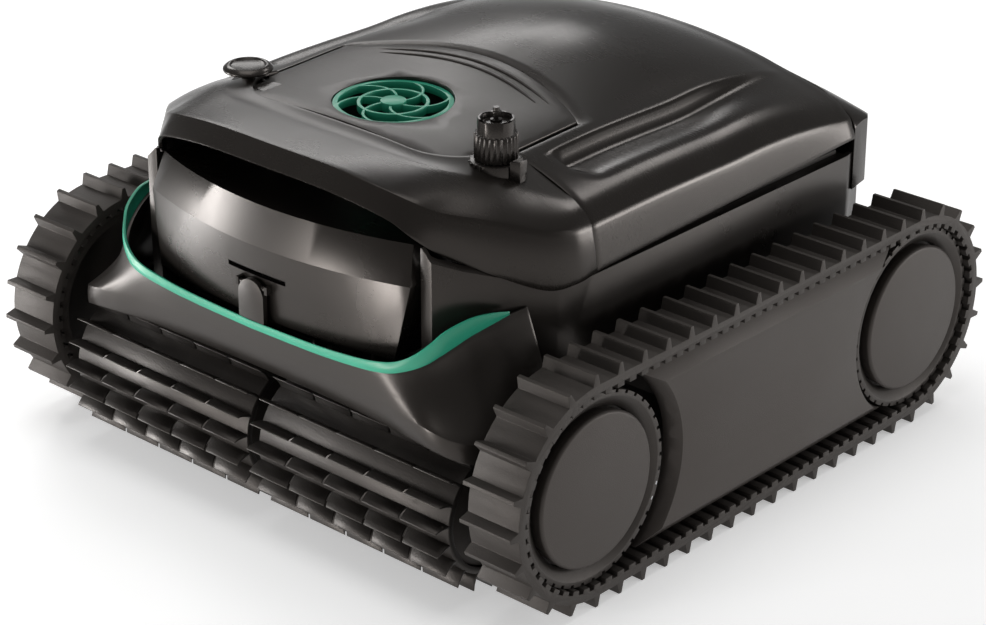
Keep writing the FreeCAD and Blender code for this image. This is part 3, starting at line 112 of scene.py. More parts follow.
def combine(tree, first, second, operation="ADD"):
    node = tree.nodes.new("ShaderNodeMath")
    node.operation = operation
    tree.links.new(first, node.inputs[0])
    if isinstance(second, (int, float)):
        node.inputs[1].default_value = second
    else:
        tree.links.new(second, node.inputs[1])
    return node.outputs["Value"]


def raise_surface(tree, shader, height, strength, distance):
    bump = tree.nodes.new("ShaderNodeBump")
    bump.inputs["Strength"].default_value = strength
    bump.inputs["Distance"].default_value = distance
    tree.links.new(height, bump.inputs["Height"])
    tree.links.new(bump.outputs["Normal"], shader.inputs["Normal"])


def shaded(colour, factor):
    return tuple(min(1.0, channel * factor) for channel in colour)


def plastic(name, colour, roughness, grain=1500, depth=0.1, coat=0.0, scuffs=0.5, specular=0.5, patches=9):
    """Moulded plastic or rubber: uneven tone, moulded grain, hairline scuffs and handled patches."""
    material, tree, shader, place = new_finish(name, roughness, coat=coat, specular=specular)
    cloud = noise(tree, place, patches, 5)
    fine = noise(tree, place, grain, 3)
    marks = noise(tree, stretched(tree, place, (60, 900, 320)), 1.0, 6, 0.7)
    tone = tint(tree, cloud, [(0.3, shaded(colour, 0.86)), (0.52, colour), (0.72, shaded(colour, 1.16))])
    speck = tree.nodes.new("ShaderNodeMix")
    speck.data_type = "RGBA"
    worn = spread(tree, marks, 0.62, 0.8, 0.0, 0.55 * scuffs)
    tree.links.new(worn, speck.inputs["Factor"])
    tree.links.new(tone, speck.inputs["A"])
    speck.inputs["B"].default_value = (*shaded(colour, 2.2), 1)
    tree.links.new(speck.outputs["Result"], shader.inputs["Base Color"])
    soft = spread(tree, cloud, 0.3, 0.7, roughness * 0.86, roughness * 1.16)
    scratch = spread(tree, marks, 0.55, 0.75, 0.0, 0.16 * scuffs)
    tree.links.new(combine(tree, soft, scratch), shader.inputs["Roughness"])
    raise_surface(tree, shader, fine, depth, 0.0003)
    return material


def metal(name, colour, roughness, stretch=(8, 900, 900)):
    """Turned or drawn metal: fine lines along the work and cloudy roughness."""
    material, tree, shader, place = new_finish(name, roughness, metallic=1.0)
    lines = noise(tree, stretched(tree, place, stretch), 1.0, 5, 0.6)
    cloud = noise(tree, place, 60, 4)
    tone = tint(tree, cloud, [(0.3, shaded(colour, 0.8)), (0.7, colour)])
    tree.links.new(tone, shader.inputs["Base Color"])
    sheen = spread(tree, lines, 0.35, 0.65, roughness * 0.7, roughness * 1.3)
    tree.links.new(sheen, shader.inputs["Roughness"])
    raise_surface(tree, shader, lines, 0.15, 0.0002)
    return material


def woven(name, colour, pitch):
    """Filter mesh: two crossed sets of threads in their own colour, with painted shade in the openings
    between them.
    """
    material, tree, shader, place = new_finish(name, 0.8)
    waves = []
    for direction in ("X", "Z"):
        wave = tree.nodes.new("ShaderNodeTexWave")
        wave.bands_direction = direction
        wave.inputs["Scale"].default_value = pitch
        wave.inputs["Distortion"].default_value = 0.3
        tree.links.new(place, wave.inputs["Vector"])
        waves.append(wave.outputs["Fac"])
    threads = combine(tree, waves[0], waves[1], "MAXIMUM")
    # the low end of the ramp is painted shade in the openings between threads; the high end is the threads'
    # own colour
    tree.links.new(tint(tree, threads, [(0.35, shaded(colour, 0.25)), (0.75, colour)]),
                   shader.inputs["Base Color"])
    raise_surface(tree, shader, threads, 0.6, 0.0004)
    return material


def circuit(name):
    """Circuit board: green lacquer with copper-coloured runs and pale dots."""
    material, tree, shader, place = new_finish(name, 0.35, coat=0.4)
    cells = tree.nodes.new("ShaderNodeTexVoronoi")
    cells.distance = "MANHATTAN"
    cells.inputs["Scale"].default_value = 140
    tree.links.new(place, cells.inputs["Vector"])
    distance = cells.outputs["Distance"]
    tree.links.new(tint(tree, distance, [(0.05, (0.5, 0.45, 0.3)), (0.12, (0.02, 0.12, 0.05)),
                                         (0.7, (0.03, 0.2, 0.08))]), shader.inputs["Base Color"])
    raise_surface(tree, shader, distance, 0.3, 0.0003)
    return material


FINISHES = {
    "shell": plastic("shell", (0.0085, 0.0072, 0.0062), 0.27, grain=900, depth=0.05, scuffs=0.2,
                     specular=0.45),
    "shell_satin": plastic("shell_satin", (0.0105, 0.009, 0.0079), 0.31, grain=1400),
    "trim_green": plastic("trim_green", (0.028, 0.32, 0.2), 0.34, grain=1600, depth=0.1, scuffs=0.25),
    "hull": plastic("hull", (0.009, 0.008, 0.0072), 0.42, grain=1300, depth=0.25),
    "track_rubber": plastic("track_rubber", (0.019, 0.0165, 0.0148), 0.55, grain=1100, depth=0.4, scuffs=0.9),
    "wheel": plastic("wheel", (0.019, 0.0163, 0.0146), 0.5, grain=1500, depth=0.25),
    "hub_cap": plastic("hub_cap", (0.03, 0.0255, 0.023), 0.5, grain=1700, depth=0.3, scuffs=0.3),
    "brush_rubber": plastic("brush_rubber", (0.012, 0.0105, 0.0095), 0.42, grain=900, depth=0.35, scuffs=0.8),
    "steel": metal("steel", (0.62, 0.61, 0.6), 0.28),
    "motor_can": metal("motor_can", (0.42, 0.42, 0.43), 0.4),
    "cell_wrap": plastic("cell_wrap", (0.03, 0.09, 0.32), 0.35, grain=700, depth=0.1),
    "board": circuit("board"),
    "basket": plastic("basket", (0.035, 0.033, 0.032), 0.5, grain=1200, depth=0.25),
    "mesh": woven("mesh", (0.5, 0.5, 0.48), 260),
    "seal": plastic("seal", (0.012, 0.012, 0.012), 0.65, grain=800, depth=0.4),
    "fitting": plastic("fitting", (0.012, 0.0105, 0.0095), 0.25, grain=1200, depth=0.06, scuffs=0.4),
}


# ---------------------------------------------------------------- mesh helpers
def finish_piece(piece, body, slot, *nodes):
    """Give a piece the finish of its slot and its body, and hide the CAD nodes it stands for."""
    piece.data.materials.clear()
    piece.data.materials.append(FINISHES[slot])
    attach(piece, body)
    if nodes:
        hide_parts(*nodes)
    return piece


def new_piece(name, points, faces):
    """A mesh object from points in millimetres."""
    mesh = bpy.data.meshes.new(name)
    mesh.from_pydata([Vector(point) * MM for point in points], [], faces)
    mesh.validate()
    piece = bpy.data.objects.new(name, mesh)
    bpy.context.scene.collection.objects.link(piece)
    return piece


def rounded(piece, width, segments=2, angle=32):
    """Round a piece's edges by a width in millimetres and smooth what is left."""
    bevel = piece.modifiers.new("edge_round", "BEVEL")
    bevel.width = width * MM
    bevel.segments = segments
    bevel.limit_method = "ANGLE"
    bevel.angle_limit = math.radians(angle)
    bevel.use_clamp_overlap = True
    apply_modifiers(piece)
    smooth(piece, angle + 6)


def apply_modifiers(piece):
    graph = bpy.context.evaluated_depsgraph_get()
    made = bpy.data.meshes.new_from_object(piece.evaluated_get(graph))
    piece.modifiers.clear()
    piece.data = made


def smooth(piece, angle):
    """Smooth shading with hard lines only where faces meet at more than the angle."""
    shape = bmesh.new()
    shape.from_mesh(piece.data)
    limit = math.radians(angle)
    for face in shape.faces:
        face.smooth = True
    for edge in shape.edges:
        edge.smooth = len(edge.link_faces) == 2 and edge.calc_face_angle(0) < limit
    shape.to_mesh(piece.data)
    shape.free()


def moulded(node, width, flat=True, angle=32):
    """The node's own shape with welded faces and moulded, rounded edges."""
    source = frame["nodes"][node]
    shape = bmesh.new()
    shape.from_mesh(source.data)
    bmesh.ops.remove_doubles(shape, verts=shape.verts, dist=0.00002)
    if flat:
        bmesh.ops.dissolve_limit(shape, angle_limit=math.radians(1.5), verts=shape.verts, edges=shape.edges)
    mesh = bpy.data.meshes.new(node + "_moulded")
    shape.to_mesh(mesh)
    shape.free()
    piece = bpy.data.objects.new(node + "_moulded", mesh)
    bpy.context.scene.collection.objects.link(piece)
    rounded(piece, width, 2, angle)
    return finish_piece(piece, BODY_OF[node], SLOT_OF[node], node)


# ---------------------------------------------------------------- floor, light, camera
def make_floor():
    points = [(-9000, -9000, 0), (9000, -9000, 0), (9000, 9000, 0), (-9000, 9000, 0)]
    floor = new_piece("floor", points, [(0, 1, 2, 3)])
    material, tree, shader, place = new_finish("floor", 0.6)
    tree.links.new(tint(tree, noise(tree, place, 3, 4), [(0.3, (0.86, 0.86, 0.86)), (0.7, (0.9, 0.9, 0.9))]),
                   shader.inputs["Base Color"])
    shader_input(shader, "Emission Color", (1, 1, 1, 1))
    shader_input(shader, "Emission Strength", 0.4)
    floor.data.materials.append(material)


def soft_light(name, place, aim, width, height, power):
    light = bpy.data.lights.new(name, "AREA")
    light.shape = "RECTANGLE"
    light.size = width
    light.size_y = height
    light.energy = power
    lamp = bpy.data.objects.new(name, light)
    lamp.location = place
    lamp.rotation_euler = (Vector(aim) - Vector(place)).to_track_quat("-Z", "Y").to_euler()
    bpy.context.scene.collection.objects.link(lamp)


LAMPS = [
    ("overhead", (-0.2, -0.1, 2.2), 1.5, 1.3, 15),
    ("front_strip_left", (-1.35, -1.05, 0.16), 0.22, 0.28, 9),
    ("front_strip_right", (-0.6, -1.75, 0.16), 0.16, 0.28, 8),
    ("box_glow_left", (-0.42, -0.38, 0.035), 0.12, 0.07, 0.4),
    ("box_glow_right", (0.02, -0.6, 0.035), 0.07, 0.07, 0.5),
    ("left_top", (-1.6, 0.5, 1.3), 0.5, 0.5, 6),
    ("left_rear_low", (-1.3, 1.12, 1.02), 0.8, 0.3, 3.2),
    ("rear_right", (1.8, 1.6, 0.4), 0.9, 0.45, 18),
    ("rear_top", (0.2, 1.5, 1.7), 0.6, 0.3, 5),
]


def make_studio():
    world = bpy.data.worlds.new("studio")
    bpy.context.scene.world = world
    world.use_nodes = True
    world.node_tree.nodes["Background"].inputs["Color"].default_value = (1, 1, 1, 1)
    world.node_tree.nodes["Background"].inputs["Strength"].default_value = 0.22
    for name, place, width, height, power in LAMPS:
        soft_light(name, place, (0, 0, 0.12), width, height, power)
    bpy.context.scene.view_settings.view_transform = "Standard"


def make_camera():
    data = bpy.data.cameras.new("camera")
    data.sensor_width = 36
    data.lens = 106.5
    camera = bpy.data.objects.new("camera", data)
    camera.location = (1.0989, -1.2095, 0.8301)
    camera.rotation_euler = Vector((-0.61026, 0.66826, -0.42545)).to_track_quat("-Z", "Y").to_euler()
    bpy.context.scene.collection.objects.link(camera)
    bpy.context.scene.camera = camera


# ---------------------------------------------------------------- lid
def eased(value, start, end):
    """0 before start, 1 after end, smooth between."""
    share = min(max((value - start) / (end - start), 0), 1)
    return share * share * (3 - 2 * share)


def between(table, place):
    """The value at a place in a table of (place, value) rows, on straight lines."""
    for (here, low), (there, high) in zip(table, table[1:]):
        if place <= there:
            return low + (high - low) * max(place - here, 0) / (there - here)
    return table[-1][1]


def curve_point(points, share):
    """A point on a smooth curve through points, share 0 to 1 of the way by spans."""
    spans = len(points) - 1
    index = min(int(share * spans), spans - 1)
    part = share * spans - index
    ends = [points[max(index - 1, 0)], points[index], points[index + 1], points[min(index + 2, spans)]]
    before, here, there, after = (Vector(point) for point in ends)
    return 0.5 * (2 * here + (there - before) * part + (2 * before - 5 * here + 4 * there - after) * part ** 2
                  + (3 * here - before - 3 * there + after) * part ** 3)


CROWN = [(-215, 227), (-187, 228.5), (-150, 229), (-91, 229), (-37, 230.5), (0, 235), (30, 238),
         (60, 238), (91, 234.5), (120, 228), (148, 218)]
SHOULDER_DROP = [(-230, 9), (-37, 8), (30, 17), (148, 11)]


def crown_height(y):
    """The crown line, smoothed over its table by averaging nearby places."""
    return sum(between(CROWN, y + 4 * step) for step in range(-3, 4)) / 7


def skin_profile(y):
    """Right half of the skin's section at y: crown, shoulder, flank and lower edge."""
    crown = crown_height(y)
    shoulder = crown - sum(between(SHOULDER_DROP, y + 4 * step) for step in range(-3, 4)) / 7
    fall = shoulder - 172
    spread_points = [(100, 0), (122, 0.13), (141, 0.3), (152, 0.52)]
    flank = [(x, shoulder - share * fall) for x, share in spread_points]
    return [(0, crown), (28, crown - (crown - shoulder) * 0.08), (55, crown - (crown - shoulder) * 0.3),
            (80, crown - (crown - shoulder) * 0.62)] + flank


ARC_END_Y = -37
LID_REAR_Y = 146
GROOVE_START, GROOVE_END = -75, 142
GROOVE_EDGE_X, GROOVE_FAR_X = 104, 138


def groove_depth(x, y):
    """How deep the long shoulder hollow is: a sharp inner edge, a slow rise to the flank's ridge."""
    bow = 14 * eased(x, GROOVE_EDGE_X, GROOVE_FAR_X + 12) ** 2
    along = eased(y, GROOVE_START + bow, GROOVE_START + bow + 5) * (1 - eased(y, 40, GROOVE_END))
    across = (x - GROOVE_EDGE_X) / (GROOVE_FAR_X - GROOVE_EDGE_X)
    if across <= 0 or across >= 1:
        return 0
    dip = eased(across, 0, 0.2) if across < 0.2 else 1 - eased(across, 0.2, 1)
    return 9 * along * dip


def lid_columns():
    """Places across the lid's right half: x on the top and flank, then shares of the lower side."""
    top = [0, 8, 16, 24, 32, 40, 48, 56, 64, 72, 80, 87, 93]
    shoulder = [96, 99, 102, 104, 105, 106, 107.5, 109, 111, 113.5, 117, 121, 125, 129, 133, 136, 138]
    flank = [140, 142, 144, 146, 148, 150, 151.2, 152]
    return [("x", x) for x in top + shoulder + flank] + [("side", share / 8) for share in range(1, 9)]


def height_on(profile, x):
    """Height of a smooth curve through the profile at x, by halving."""
    low, high = 0.0, 1.0
    for _ in range(26):
        middle = (low + high) / 2
        if curve_point(profile, middle).x < x:
            low = middle
        else:
            high = middle
    return curve_point(profile, low).y


def make_lid():
    """The hinged lid: crowned top, long shoulder hollows, creased flanks and a chamfered arched front."""
    box_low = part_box("top_cover")[0]
    dish_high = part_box("dish_panel")[1]
    half = dish_high.x / MM
    arc_y, ear_y = dish_high.y / MM + 0.8, box_low.y / MM
    meet = 24
    columns = lid_columns()
    ear_rows = [step / 10 for step in range(11)]
    front_rows = [0, 0.012, 0.03, 0.12, 0.2, 0.3, 0.42, 0.55, 0.7, 0.85, 1]
    rear_rows = [step / 24 for step in range(25)]
    rows = ([("ear", share) for share in ear_rows[:-1]] + [("front", share) for share in front_rows[:-1]]
            + [("rear", share) for share in rear_rows])
    arc_sag = arc_y - ARC_END_Y
    radius = (half * half + arc_sag * arc_sag) / (2 * arc_sag)
    points, faces, index = [], [], {}
    for side in (-1, 1):
        for c, (kind, value) in enumerate(columns):
            if side < 0 and c == 0:
                continue
            x = value if kind == "x" else 152
            inner = x < half
            start = arc_y - radius + math.sqrt(radius * radius - x * x) if inner else ARC_END_Y
            for r, (zone, share) in enumerate(rows):
                if zone == "ear" and inner:
                    continue
                if zone == "ear":
                    y = ear_y + (ARC_END_Y - ear_y) * share
                elif zone == "front":
                    y = start + (meet - start) * share
                else:
                    y = meet + (LID_REAR_Y - meet) * share
                profile = skin_profile(y)
                if kind == "x":
                    px, pz = x, height_on(profile, x) - groove_depth(x, y)
                else:
                    lower = 169 + (y + 93) * 8 / 239
                    crease = profile[-1]
                    px = crease[0] + (157 - crease[0]) * value ** 0.8
                    pz = crease[1] + (lower - crease[1]) * value
                if inner and zone == "front" and share <= 0.12:
                    pz -= 4.2 * (1 - eased(share, -0.1, 0.12)) if share > 0 else 4.2
                index[side * c, r] = len(points)
                points.append((side * px, y, pz))
    order = [-c for c in range(len(columns) - 1, 0, -1)] + list(range(len(columns)))
    for here, there in zip(order, order[1:]):
        for r in range(len(rows) - 1):
            corners = [index.get(key) for key in ((here, r), (there, r), (there, r + 1), (here, r + 1))]
            if None not in corners:
                faces.append(corners)
    lid = new_piece("lid_cover", points, faces)
    thicken(lid, 2.6)
    rounded(lid, 0.45, 2, 40)
    return finish_piece(lid, "lid", "shell", "top_cover")


# Rails in millimetres, right half, from the middle to the cheek. They were measured apart from the frame.
RIM = [(0, -196, 219.5), (50, -194.6, 218.2), (89, -189, 211), (103, -181, 200), (113, -170, 190),
       (135, -148, 176.5), (150, -126, 166), (156.6, -108, 166.5), (157.2, -92.6, 169)]
CREASE = [(0, -186.5, 229), (46, -185.5, 228.4), (80, -182.5, 224.5), (97, -177, 219.5), (110, -168, 214),
          (131, -146.5, 208), (146.5, -125, 200), (152, -107, 197), (152.6, -92.8, 195)]
CREST = [(0, -152, 227.6), (44, -151, 227.4), (76, -148, 226.3), (91, -143, 225), (104, -135, 222.5),
         (117, -123, 218), (128, -111, 213), (135, -101, 209.5), (138.5, -93.2, 207.5)]
INNER = [(0, -135.4, 228.4), (34, -135.4, 228.2), (62, -135.2, 227.2), (78, -128, 226.4),
         (88, -116, 225.6), (93.4, -105, 224.8), (93.8, -100, 224.3), (93.8, -96, 223.9),
         (93.8, -93.4, 223.6)]


def make_cowl():
    """The visor ahead of the lid: a hollowed band, a crease and a front face that turns down its cheeks."""
    across, steps = 72, 9
    points, faces, index = [], [], {}
    for side in (-1, 1):
        for c in range(across + 1):
            if side < 0 and c == 0:
                continue
            share = c / across
            inner, crest, crease, rim = (curve_point(rail, share) for rail in (INNER, CREST, CREASE, RIM))
            row = []
            for step in range(steps):
                part = step / steps
                dish = 1.2 * math.sin(math.pi * part) * (1 - share)
                row.append(inner.lerp(crest, part) - Vector((0, 0, dish * 0.6)))
            for step in range(steps):
                part = step / steps
                swell = 1.6 * math.sin(math.pi * part) * share
                row.append(crest.lerp(crease, part) + Vector((swell * 0.5, -swell * 0.3, swell)))
            for step in range(steps + 1):
                part = step / steps
                swell = 2.2 * math.sin(math.pi * part) * share
                row.append(crease.lerp(rim, part) + Vector((swell * 0.6, -swell * 0.7, swell * 0.3)))
            for r, point in enumerate(row):
                index[side * c, r] = len(points)
                points.append((side * point.x, point.y, point.z))
    for here in range(-across, across):
        for r in range(3 * steps):
            faces.append([index[here, r], index[here, r + 1], index[here + 1, r + 1], index[here + 1, r]])
    cowl = new_piece("front_visor", points, faces)
    thicken(cowl, 2.4)
    rounded(cowl, 0.5, 2, 28)
    return finish_piece(cowl, "chassis", "shell", "front_cowl")


# ---------------------------------------------------------------- nose skirt and strip
# Rails in millimetres, right half. They were measured apart from the frame, so they don't follow its nodes.
SKIRT_TOP = [(0, -206.9, 124.8), (50, -206.7, 125.8), (80, -206.4, 127.8), (100, -204.8, 130),
             (116, -198.5, 134.5), (126, -190, 141), (133, -176, 149), (138.5, -158, 154.8),
             (143, -135, 157.5)]
SKIRT_FOLD = [(0, -205.6, 112.6), (50, -205.8, 112.6), (92, -206.6, 112.2), (118, -207.8, 110.5),
              (136, -207.6, 107.5), (149, -202, 103), (158.5, -190, 99), (164, -170, 98), (167, -136, 98)]
SKIRT_LIP = [(0, -200.8, 96.6), (50, -201.2, 96.5), (94, -203, 96.4), (122, -206, 96),
             (140, -205.8, 94.5), (152.5, -199.5, 90), (161, -187, 86.5), (165.8, -168, 86),
             (168.4, -134, 87)]
BAND_HIGH = [(0, -207.4, 128.8), (48, -207.3, 130), (77, -207.1, 132.2), (95.3, -206, 134.4),
             (107.8, -202.7, 137), (117.3, -198.6, 142.2), (124.6, -192.2, 149.4), (129.4, -185.3, 155.6),
             (135, -171.9, 160.3), (138.9, -159.6, 160.6), (141.8, -148, 158.9)]
BAND_LOW = [(0, -207.6, 124), (48, -207.5, 124.9), (77, -207.3, 126.6), (95.3, -206.2, 128.2),
            (107.9, -203, 130.1), (120.3, -196.1, 134.9), (128, -188.1, 141.5), (131.9, -180.2, 145.9),
            (135.2, -171.8, 150), (139, -159.5, 153.8), (141.9, -148, 156.9)]


def rail_surface(name, rails, across, steps, swell):
    """Both halves of a surface carried by rails, with a swell of its own between each pair of rails."""
    points, faces, index = [], [], {}
    for side in (-1, 1):
        for c in range(across + 1):
            if side < 0 and c == 0:
                continue
            share = c / across
            places = [curve_point(rail, share) for rail in rails]
            row = []
            for band, (here, there) in enumerate(zip(places, places[1:])):
                last = band == len(places) - 2
                for step in range(steps + last):
                    part = step / steps
                    row.append(here.lerp(there, part) + swell(band, share) * math.sin(math.pi * part))
            for r, point in enumerate(row):
                index[side * c, r] = len(points)
                points.append((side * point.x, point.y, point.z))
    rows = steps * (len(rails) - 1)
    for here in range(-across, across):
        for r in range(rows):
            faces.append([index[here, r], index[here, r + 1], index[here + 1, r + 1], index[here + 1, r]])
    return new_piece(name, points, faces)


def skirt_swell(band, share):
    """The cheek is hollowed where it turns from the strip down to the lip."""
    hollow = eased(share, 0.35, 0.7) * (1 - eased(share, 0.8, 1))
    return Vector((-5.5, 3.5, -1.5)) * hollow if band == 0 else Vector((0, -0.6, -0.4))


def make_nose_skirt():
    skirt = rail_surface("nose_apron", [SKIRT_TOP, SKIRT_FOLD, SKIRT_LIP], 80, 10, skirt_swell)
    thicken(skirt, 2.6)
    rounded(skirt, 0.6, 2, 26)
    return finish_piece(skirt, "chassis", "shell_satin", "nose_skirt")


def band_swell(band, share):
    return Vector((0.3, -0.6, 0))


def make_green_band():
    """The coloured strip between the box and the skirt, wider and rising at its ends."""
    band = rail_surface("green_band", [BAND_HIGH, BAND_LOW], 90, 6, band_swell)
    thicken(band, 1.6)
    rounded(band, 0.3, 2, 30)
    return finish_piece(band, "chassis", "trim_green", "green_trim")


# ---------------------------------------------------------------- shoulder fittings and dish ridges
def lathe(name, centre, profile, around, radius_at=None, height_at=None):
    """A turned form from (radius, height) rows, whose radius and height may vary with the angle."""
    points, faces = [], []
    for radius, height in profile:
        for step in range(around):
            turn = 2 * math.pi * step / around
            grow = radius_at(radius, height, turn) if radius_at else radius
            lift = height_at(radius, height, turn) if height_at else height
            points.append((centre[0] + grow * math.cos(turn), centre[1] + grow * math.sin(turn), lift))
    for ring in range(len(profile) - 1):
        for step in range(around):
            here, there = ring * around + step, ring * around + (step + 1) % around
            faces.append((here, there, there + around, here + around))
    faces.append(tuple(range(around))[::-1])
    faces.append(tuple(range(len(points) - around, len(points))))
    piece = new_piece(name, points, faces)
    tidy_normals(piece)
    return piece


def box_middle(node):
    low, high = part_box(node)
    return (low.x + high.x) / 2 / MM, (low.y + high.y) / 2 / MM


def make_charge_cap():
    """The fluted screw cap with a notched crown and a small headed pin."""
    centre = box_middle("charge_cap")
    low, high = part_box("charge_cap")
    base, top = low.z / MM, high.z / MM
    crown, shoulder = top - 6, top - 15

    def fluted(radius, height, turn):
        if radius < 11 or height > shoulder + 0.2:
            return radius
        return radius - 0.85 * (0.5 + 0.5 * math.cos(26 * turn)) ** 0.5

    def notched(radius, height, turn):
        if height < crown - 0.2 or radius < 8:
            return height
        return height - 2.2 * (math.cos(4 * turn + 0.6) > 0.45)

    profile = [(7, base), (12, base), (12.4, base + 0.6), (12.4, shoulder - 0.6), (12, shoulder),
               (10.7, shoulder + 0.4), (10.4, crown - 0.6), (10, crown), (9, crown), (8.6, crown - 0.5),
               (8, crown - 3), (3.4, crown - 3), (3.2, crown - 1), (1.6, crown - 0.6), (1.6, crown + 1.6),
               (2.9, crown + 2.2), (3, crown + 3.6), (1.9, crown + 4), (1.8, top), (0.6, top)]
    cap = lathe("screw_cap", centre, profile, 208, fluted, notched)
    smooth(cap, 34)
    finish_piece(cap, "charge_cap", "fitting", "charge_cap")


def make_power_button():
    """A broad push knob: dished top, raised ring and a chamfered skirt over its stalk."""
    centre = box_middle("power_button")
    low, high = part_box("power_button")
    foot, top = low.z / MM, high.z / MM
    profile = [(3, foot), (4, foot + 0.4), (4, top - 4.1), (13.6, top - 4.1), (14.8, top - 3.6),
               (15, top - 3), (14.8, top - 2.2), (13.6, top - 1), (12.4, top - 0.3), (11.4, top),
               (10.6, top - 0.2), (10.1, top - 0.9), (9.4, top - 1.1), (4, top - 1.4), (0.5, top - 1.4)]
    knob = lathe("push_knob", centre, profile, 72)
    rounded(knob, 0.2, 2, 20)
    finish_piece(knob, "power_button", "fitting", "power_button")


def extruded(name, outline, low, high):
    """An upright form from an (x, y) outline between two heights."""
    count = len(outline)
    points = [(x, y, low) for x, y in outline] + [(x, y, high) for x, y in outline]
    faces = [(k, (k + 1) % count, (k + 1) % count + count, k + count) for k in range(count)]
    faces += [tuple(range(count))[::-1], tuple(range(count, 2 * count))]
    piece = new_piece(name, points, faces)
    tidy_normals(piece)
    return piece


def make_button_bracket():
    """The six-sided seat under the knob, with a forked arm that carries a small eye."""
    x, y = box_middle("button_base")
    low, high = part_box("button_base")
    seat = [(x + 12 * math.cos(k * math.pi / 3), y + 12 * math.sin(k * math.pi / 3)) for k in range(6)]
    base = extruded("knob_seat", seat, low.z / MM, high.z / MM)
    rounded(base, 0.7, 2, 30)
    finish_piece(base, "chassis", "fitting", "button_base")
    eye_x, eye_y, eye_z = x + 25, y - 6, high.z / MM + 1
    profile = [(4.6, eye_z + 3), (7.6, eye_z + 3), (8.4, eye_z + 2), (8.6, eye_z), (8, eye_z - 3),
               (7, eye_z - 6), (4.6, eye_z - 6), (4.6, eye_z + 2.9)]
    eye = lathe("bracket_eye", (eye_x, eye_y), profile, 48)
    smooth(eye, 30)
    finish_piece(eye, "chassis", "fitting")
    for number, lean in enumerate((-4.2, 4.2)):
        near, far, half = y + lean, eye_y + lean * 1.3, 1.1
        arm = [(x + 6, near - half), (eye_x - 4, far - half), (eye_x - 4, far + half), (x + 6, near + half)]
        piece = extruded(f"bracket_arm_{number}", arm, eye_z - 5, eye_z + 1.2)
        rounded(piece, 0.4, 2, 30)
        finish_piece(piece, "chassis", "fitting")


def make_cap_bracket():
    """A thin hooked plate beside the screw cap, and the ribs of its collar."""
    x, y = box_middle("charge_socket")
    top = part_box("charge_socket")[1].z / MM
    hook = [(x + 14.6, y - 5), (x + 19.4, y - 2), (x + 19.4, y + 4), (x + 18.2, y + 4), (x + 18.2, y - 1.2),
            (x + 15.4, y - 3.2), (x + 15.4, y + 5), (x + 14.2, y + 5)]
    plate = extruded("cap_hook", hook, top - 9, top + 3.4)
    rounded(plate, 0.3, 2, 30)
    finish_piece(plate, "chassis", "fitting")
    for number in range(7):
        turn = math.radians(186 + 15 * number)
        out, across = Vector((math.cos(turn), math.sin(turn))), Vector((-math.sin(turn), math.cos(turn)))
        inner, outer = Vector((x, y)) + out * 13.8, Vector((x, y)) + out * 15.8
        rib = [inner - across * 0.5, outer - across * 0.5, outer + across * 0.5, inner + across * 0.5]
        piece = extruded(f"collar_rib_{number}", rib, top - 8, top - 0.4)
        rounded(piece, 0.25, 1, 30)
        finish_piece(piece, "chassis", "fitting")


def make_dish_ridges():
    """Two low round ridges on the dish that run alongside the lid's arched edge."""
    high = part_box("dish_panel")[1]
    arc_y, half = high.y / MM, high.x / MM
    sag = arc_y - ARC_END_Y
    radius = (half * half + sag * sag) / (2 * sag)
    for number, (ahead, reach) in enumerate(((8, 74), (14.5, 70))):
        ring = radius - ahead
        limit = math.asin(reach / radius)
        points, faces = [], []
        stations, section = 48, 7
        for station in range(stations + 1):
            turn = -limit + 2 * limit * station / stations
            taper = math.sin(math.pi * station / stations) ** 0.25 if 0 < station < stations else 0.05
            for k in range(section):
                bow = math.pi * k / (section - 1)
                out = ring + 1.5 * math.cos(bow) * taper
                x, y = out * math.sin(turn), arc_y - radius + out * math.cos(turn)
                points.append((x, y, height_on(skin_profile(y), abs(x)) - 0.35 + 1.3 * math.sin(bow) * taper))
        for station in range(stations):
            for k in range(section):
                here, there = station * section + k, station * section + (k + 1) % section
                faces.append((here, there, there + section, here + section))
        faces += [tuple(range(section)), tuple(range(stations * section, (stations + 1) * section))]
        ridge = new_piece(f"dish_ridge_{number}", points, faces)
        tidy_normals(ridge)
        smooth(ridge, 50)
        finish_piece(ridge, "chassis", "shell_satin")


def thicken(piece, wall):
    solid = piece.modifiers.new("wall", "SOLIDIFY")
    solid.thickness = wall * MM
    solid.offset = -1
    solid.use_even_offset = True
    apply_modifiers(piece)


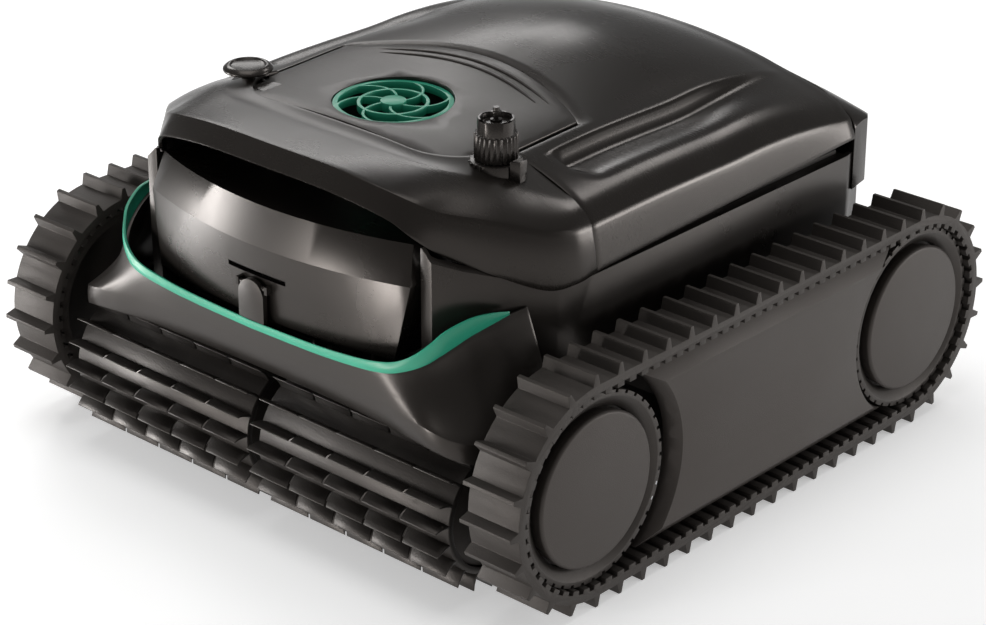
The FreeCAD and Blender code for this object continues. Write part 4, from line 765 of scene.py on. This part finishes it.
# ---------------------------------------------------------------- brush rollers
def make_brush_fins(side):
    """A rubber sleeve with rows of short leaning blades, parted by slanted slits."""
    node = "brush_fins_" + side
    low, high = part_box(node)
    centre_y, centre_z = (low.y + high.y) / 2 / MM, (low.z + high.z) / 2 / MM
    inner, outer = low.x / MM, high.x / MM
    tip, root, sleeve = (high.z - low.z) / 2 / MM - 0.1, 37.6, 38.4
    blades, tiles, slit, slant, phase = 20, 5, 1.5, 4.5, 0.215
    points, faces = [], []

    def on_roller(x, radius, turn):
        points.append((x, centre_y + radius * math.cos(turn), centre_z + radius * math.sin(turn)))
        return len(points) - 1

    pitch = (outer - inner) / tiles
    for blade in range(blades):
        turn = 2 * math.pi * blade / blades + phase
        lift = [(root, 0.0, 2.0), (41.5, 0.0, 1.5), (45, 0.012, 1.15), (tip, 0.035, 0.9)]
        for tile in range(tiles):
            rings = []
            for radius, lean, thick in lift:
                share = (radius - root) / (tip - root)
                shift = slant * (share - 0.5)
                start = inner + tile * pitch + (slit / 2 + shift if tile else 0)
                end = inner + (tile + 1) * pitch + (shift - slit / 2 if tile < tiles - 1 else 0)
                half = thick / 2 / radius
                rings.append([on_roller(x, radius, turn + lean + half * way)
                              for x, way in ((start, -1), (end, -1), (end, 1), (start, 1))])
            for lower, upper in zip(rings, rings[1:]):
                for k in range(4):
                    faces.append((lower[k], lower[(k + 1) % 4], upper[(k + 1) % 4], upper[k]))
            faces.append(tuple(rings[-1]))
            faces.append(tuple(rings[0][::-1]))
    around = 80
    loops = []
    for x, radius in ((inner, 34.2), (inner, sleeve), (outer, sleeve), (outer, 34.2)):
        loops.append([on_roller(x, radius, 2 * math.pi * step / around) for step in range(around)])
    for here, there in zip(loops, loops[1:] + loops[:1]):
        for k in range(around):
            faces.append((here[k], here[(k + 1) % around], there[(k + 1) % around], there[k]))
    piece = new_piece("brush_blades_" + side, points, faces)
    tidy_normals(piece)
    rounded(piece, 0.25, 1, 50)
    return finish_piece(piece, "brush_" + side, "brush_rubber", node)


def tidy_normals(piece):
    shape = bmesh.new()
    shape.from_mesh(piece.data)
    bmesh.ops.recalc_face_normals(shape, faces=shape.faces)
    shape.to_mesh(piece.data)
    shape.free()


# ---------------------------------------------------------------- pieces from the frame's own shapes
ROUNDED = {"rear_trim": 0.5, "dish_panel": 0.35, "deck": 0.4, "front_box": 0.7,
           "outlet_grille": 0.35, "latch_tab": 0.6, "charge_socket": 0.5,
           "pump_duct": 0.4, "impeller": 0.3, "filter_basket": 0.5, "brush_hanger": 0.5,
           "hull_tray": 0.5, "lid_seal": 0.6, "inlet_flap": 0.4, "inlet_port": 0.4,
           "control_case": 0.8, "lid_hinge_pin": 0.3}
PAIRED = {"track_belt": 0.35, "side_cover": 0.9, "front_wheel": 0.35, "rear_wheel": 0.35,
          "front_hub_cap": 0.7, "rear_hub_cap": 0.7, "track_beam": 0.5, "brush_core": 0.4,
          "wheel_gear": 0.2, "brush_gear": 0.2, "gear_cover": 0.4}
SHARP_FROM = {"front_box": 13, "rear_trim": 22, "dish_panel": 25}
CURVED = ("rear_trim", "dish_panel")

make_floor()
make_studio()
make_camera()
for node, item in frame["nodes"].items():
    item.data.materials.clear()
    item.data.materials.append(FINISHES[SLOT_OF[node]])
for node, width in ROUNDED.items():
    moulded(node, width, node not in CURVED, SHARP_FROM.get(node, 32))
for pair, width in PAIRED.items():
    for side in ("left", "right"):
        moulded(pair + "_" + side, width)
make_lid()
make_cowl()
make_nose_skirt()
make_green_band()
make_charge_cap()
make_power_button()
make_button_bracket()
make_cap_bracket()
make_dish_ridges()
for side in ("left", "right"):
    make_brush_fins(side)
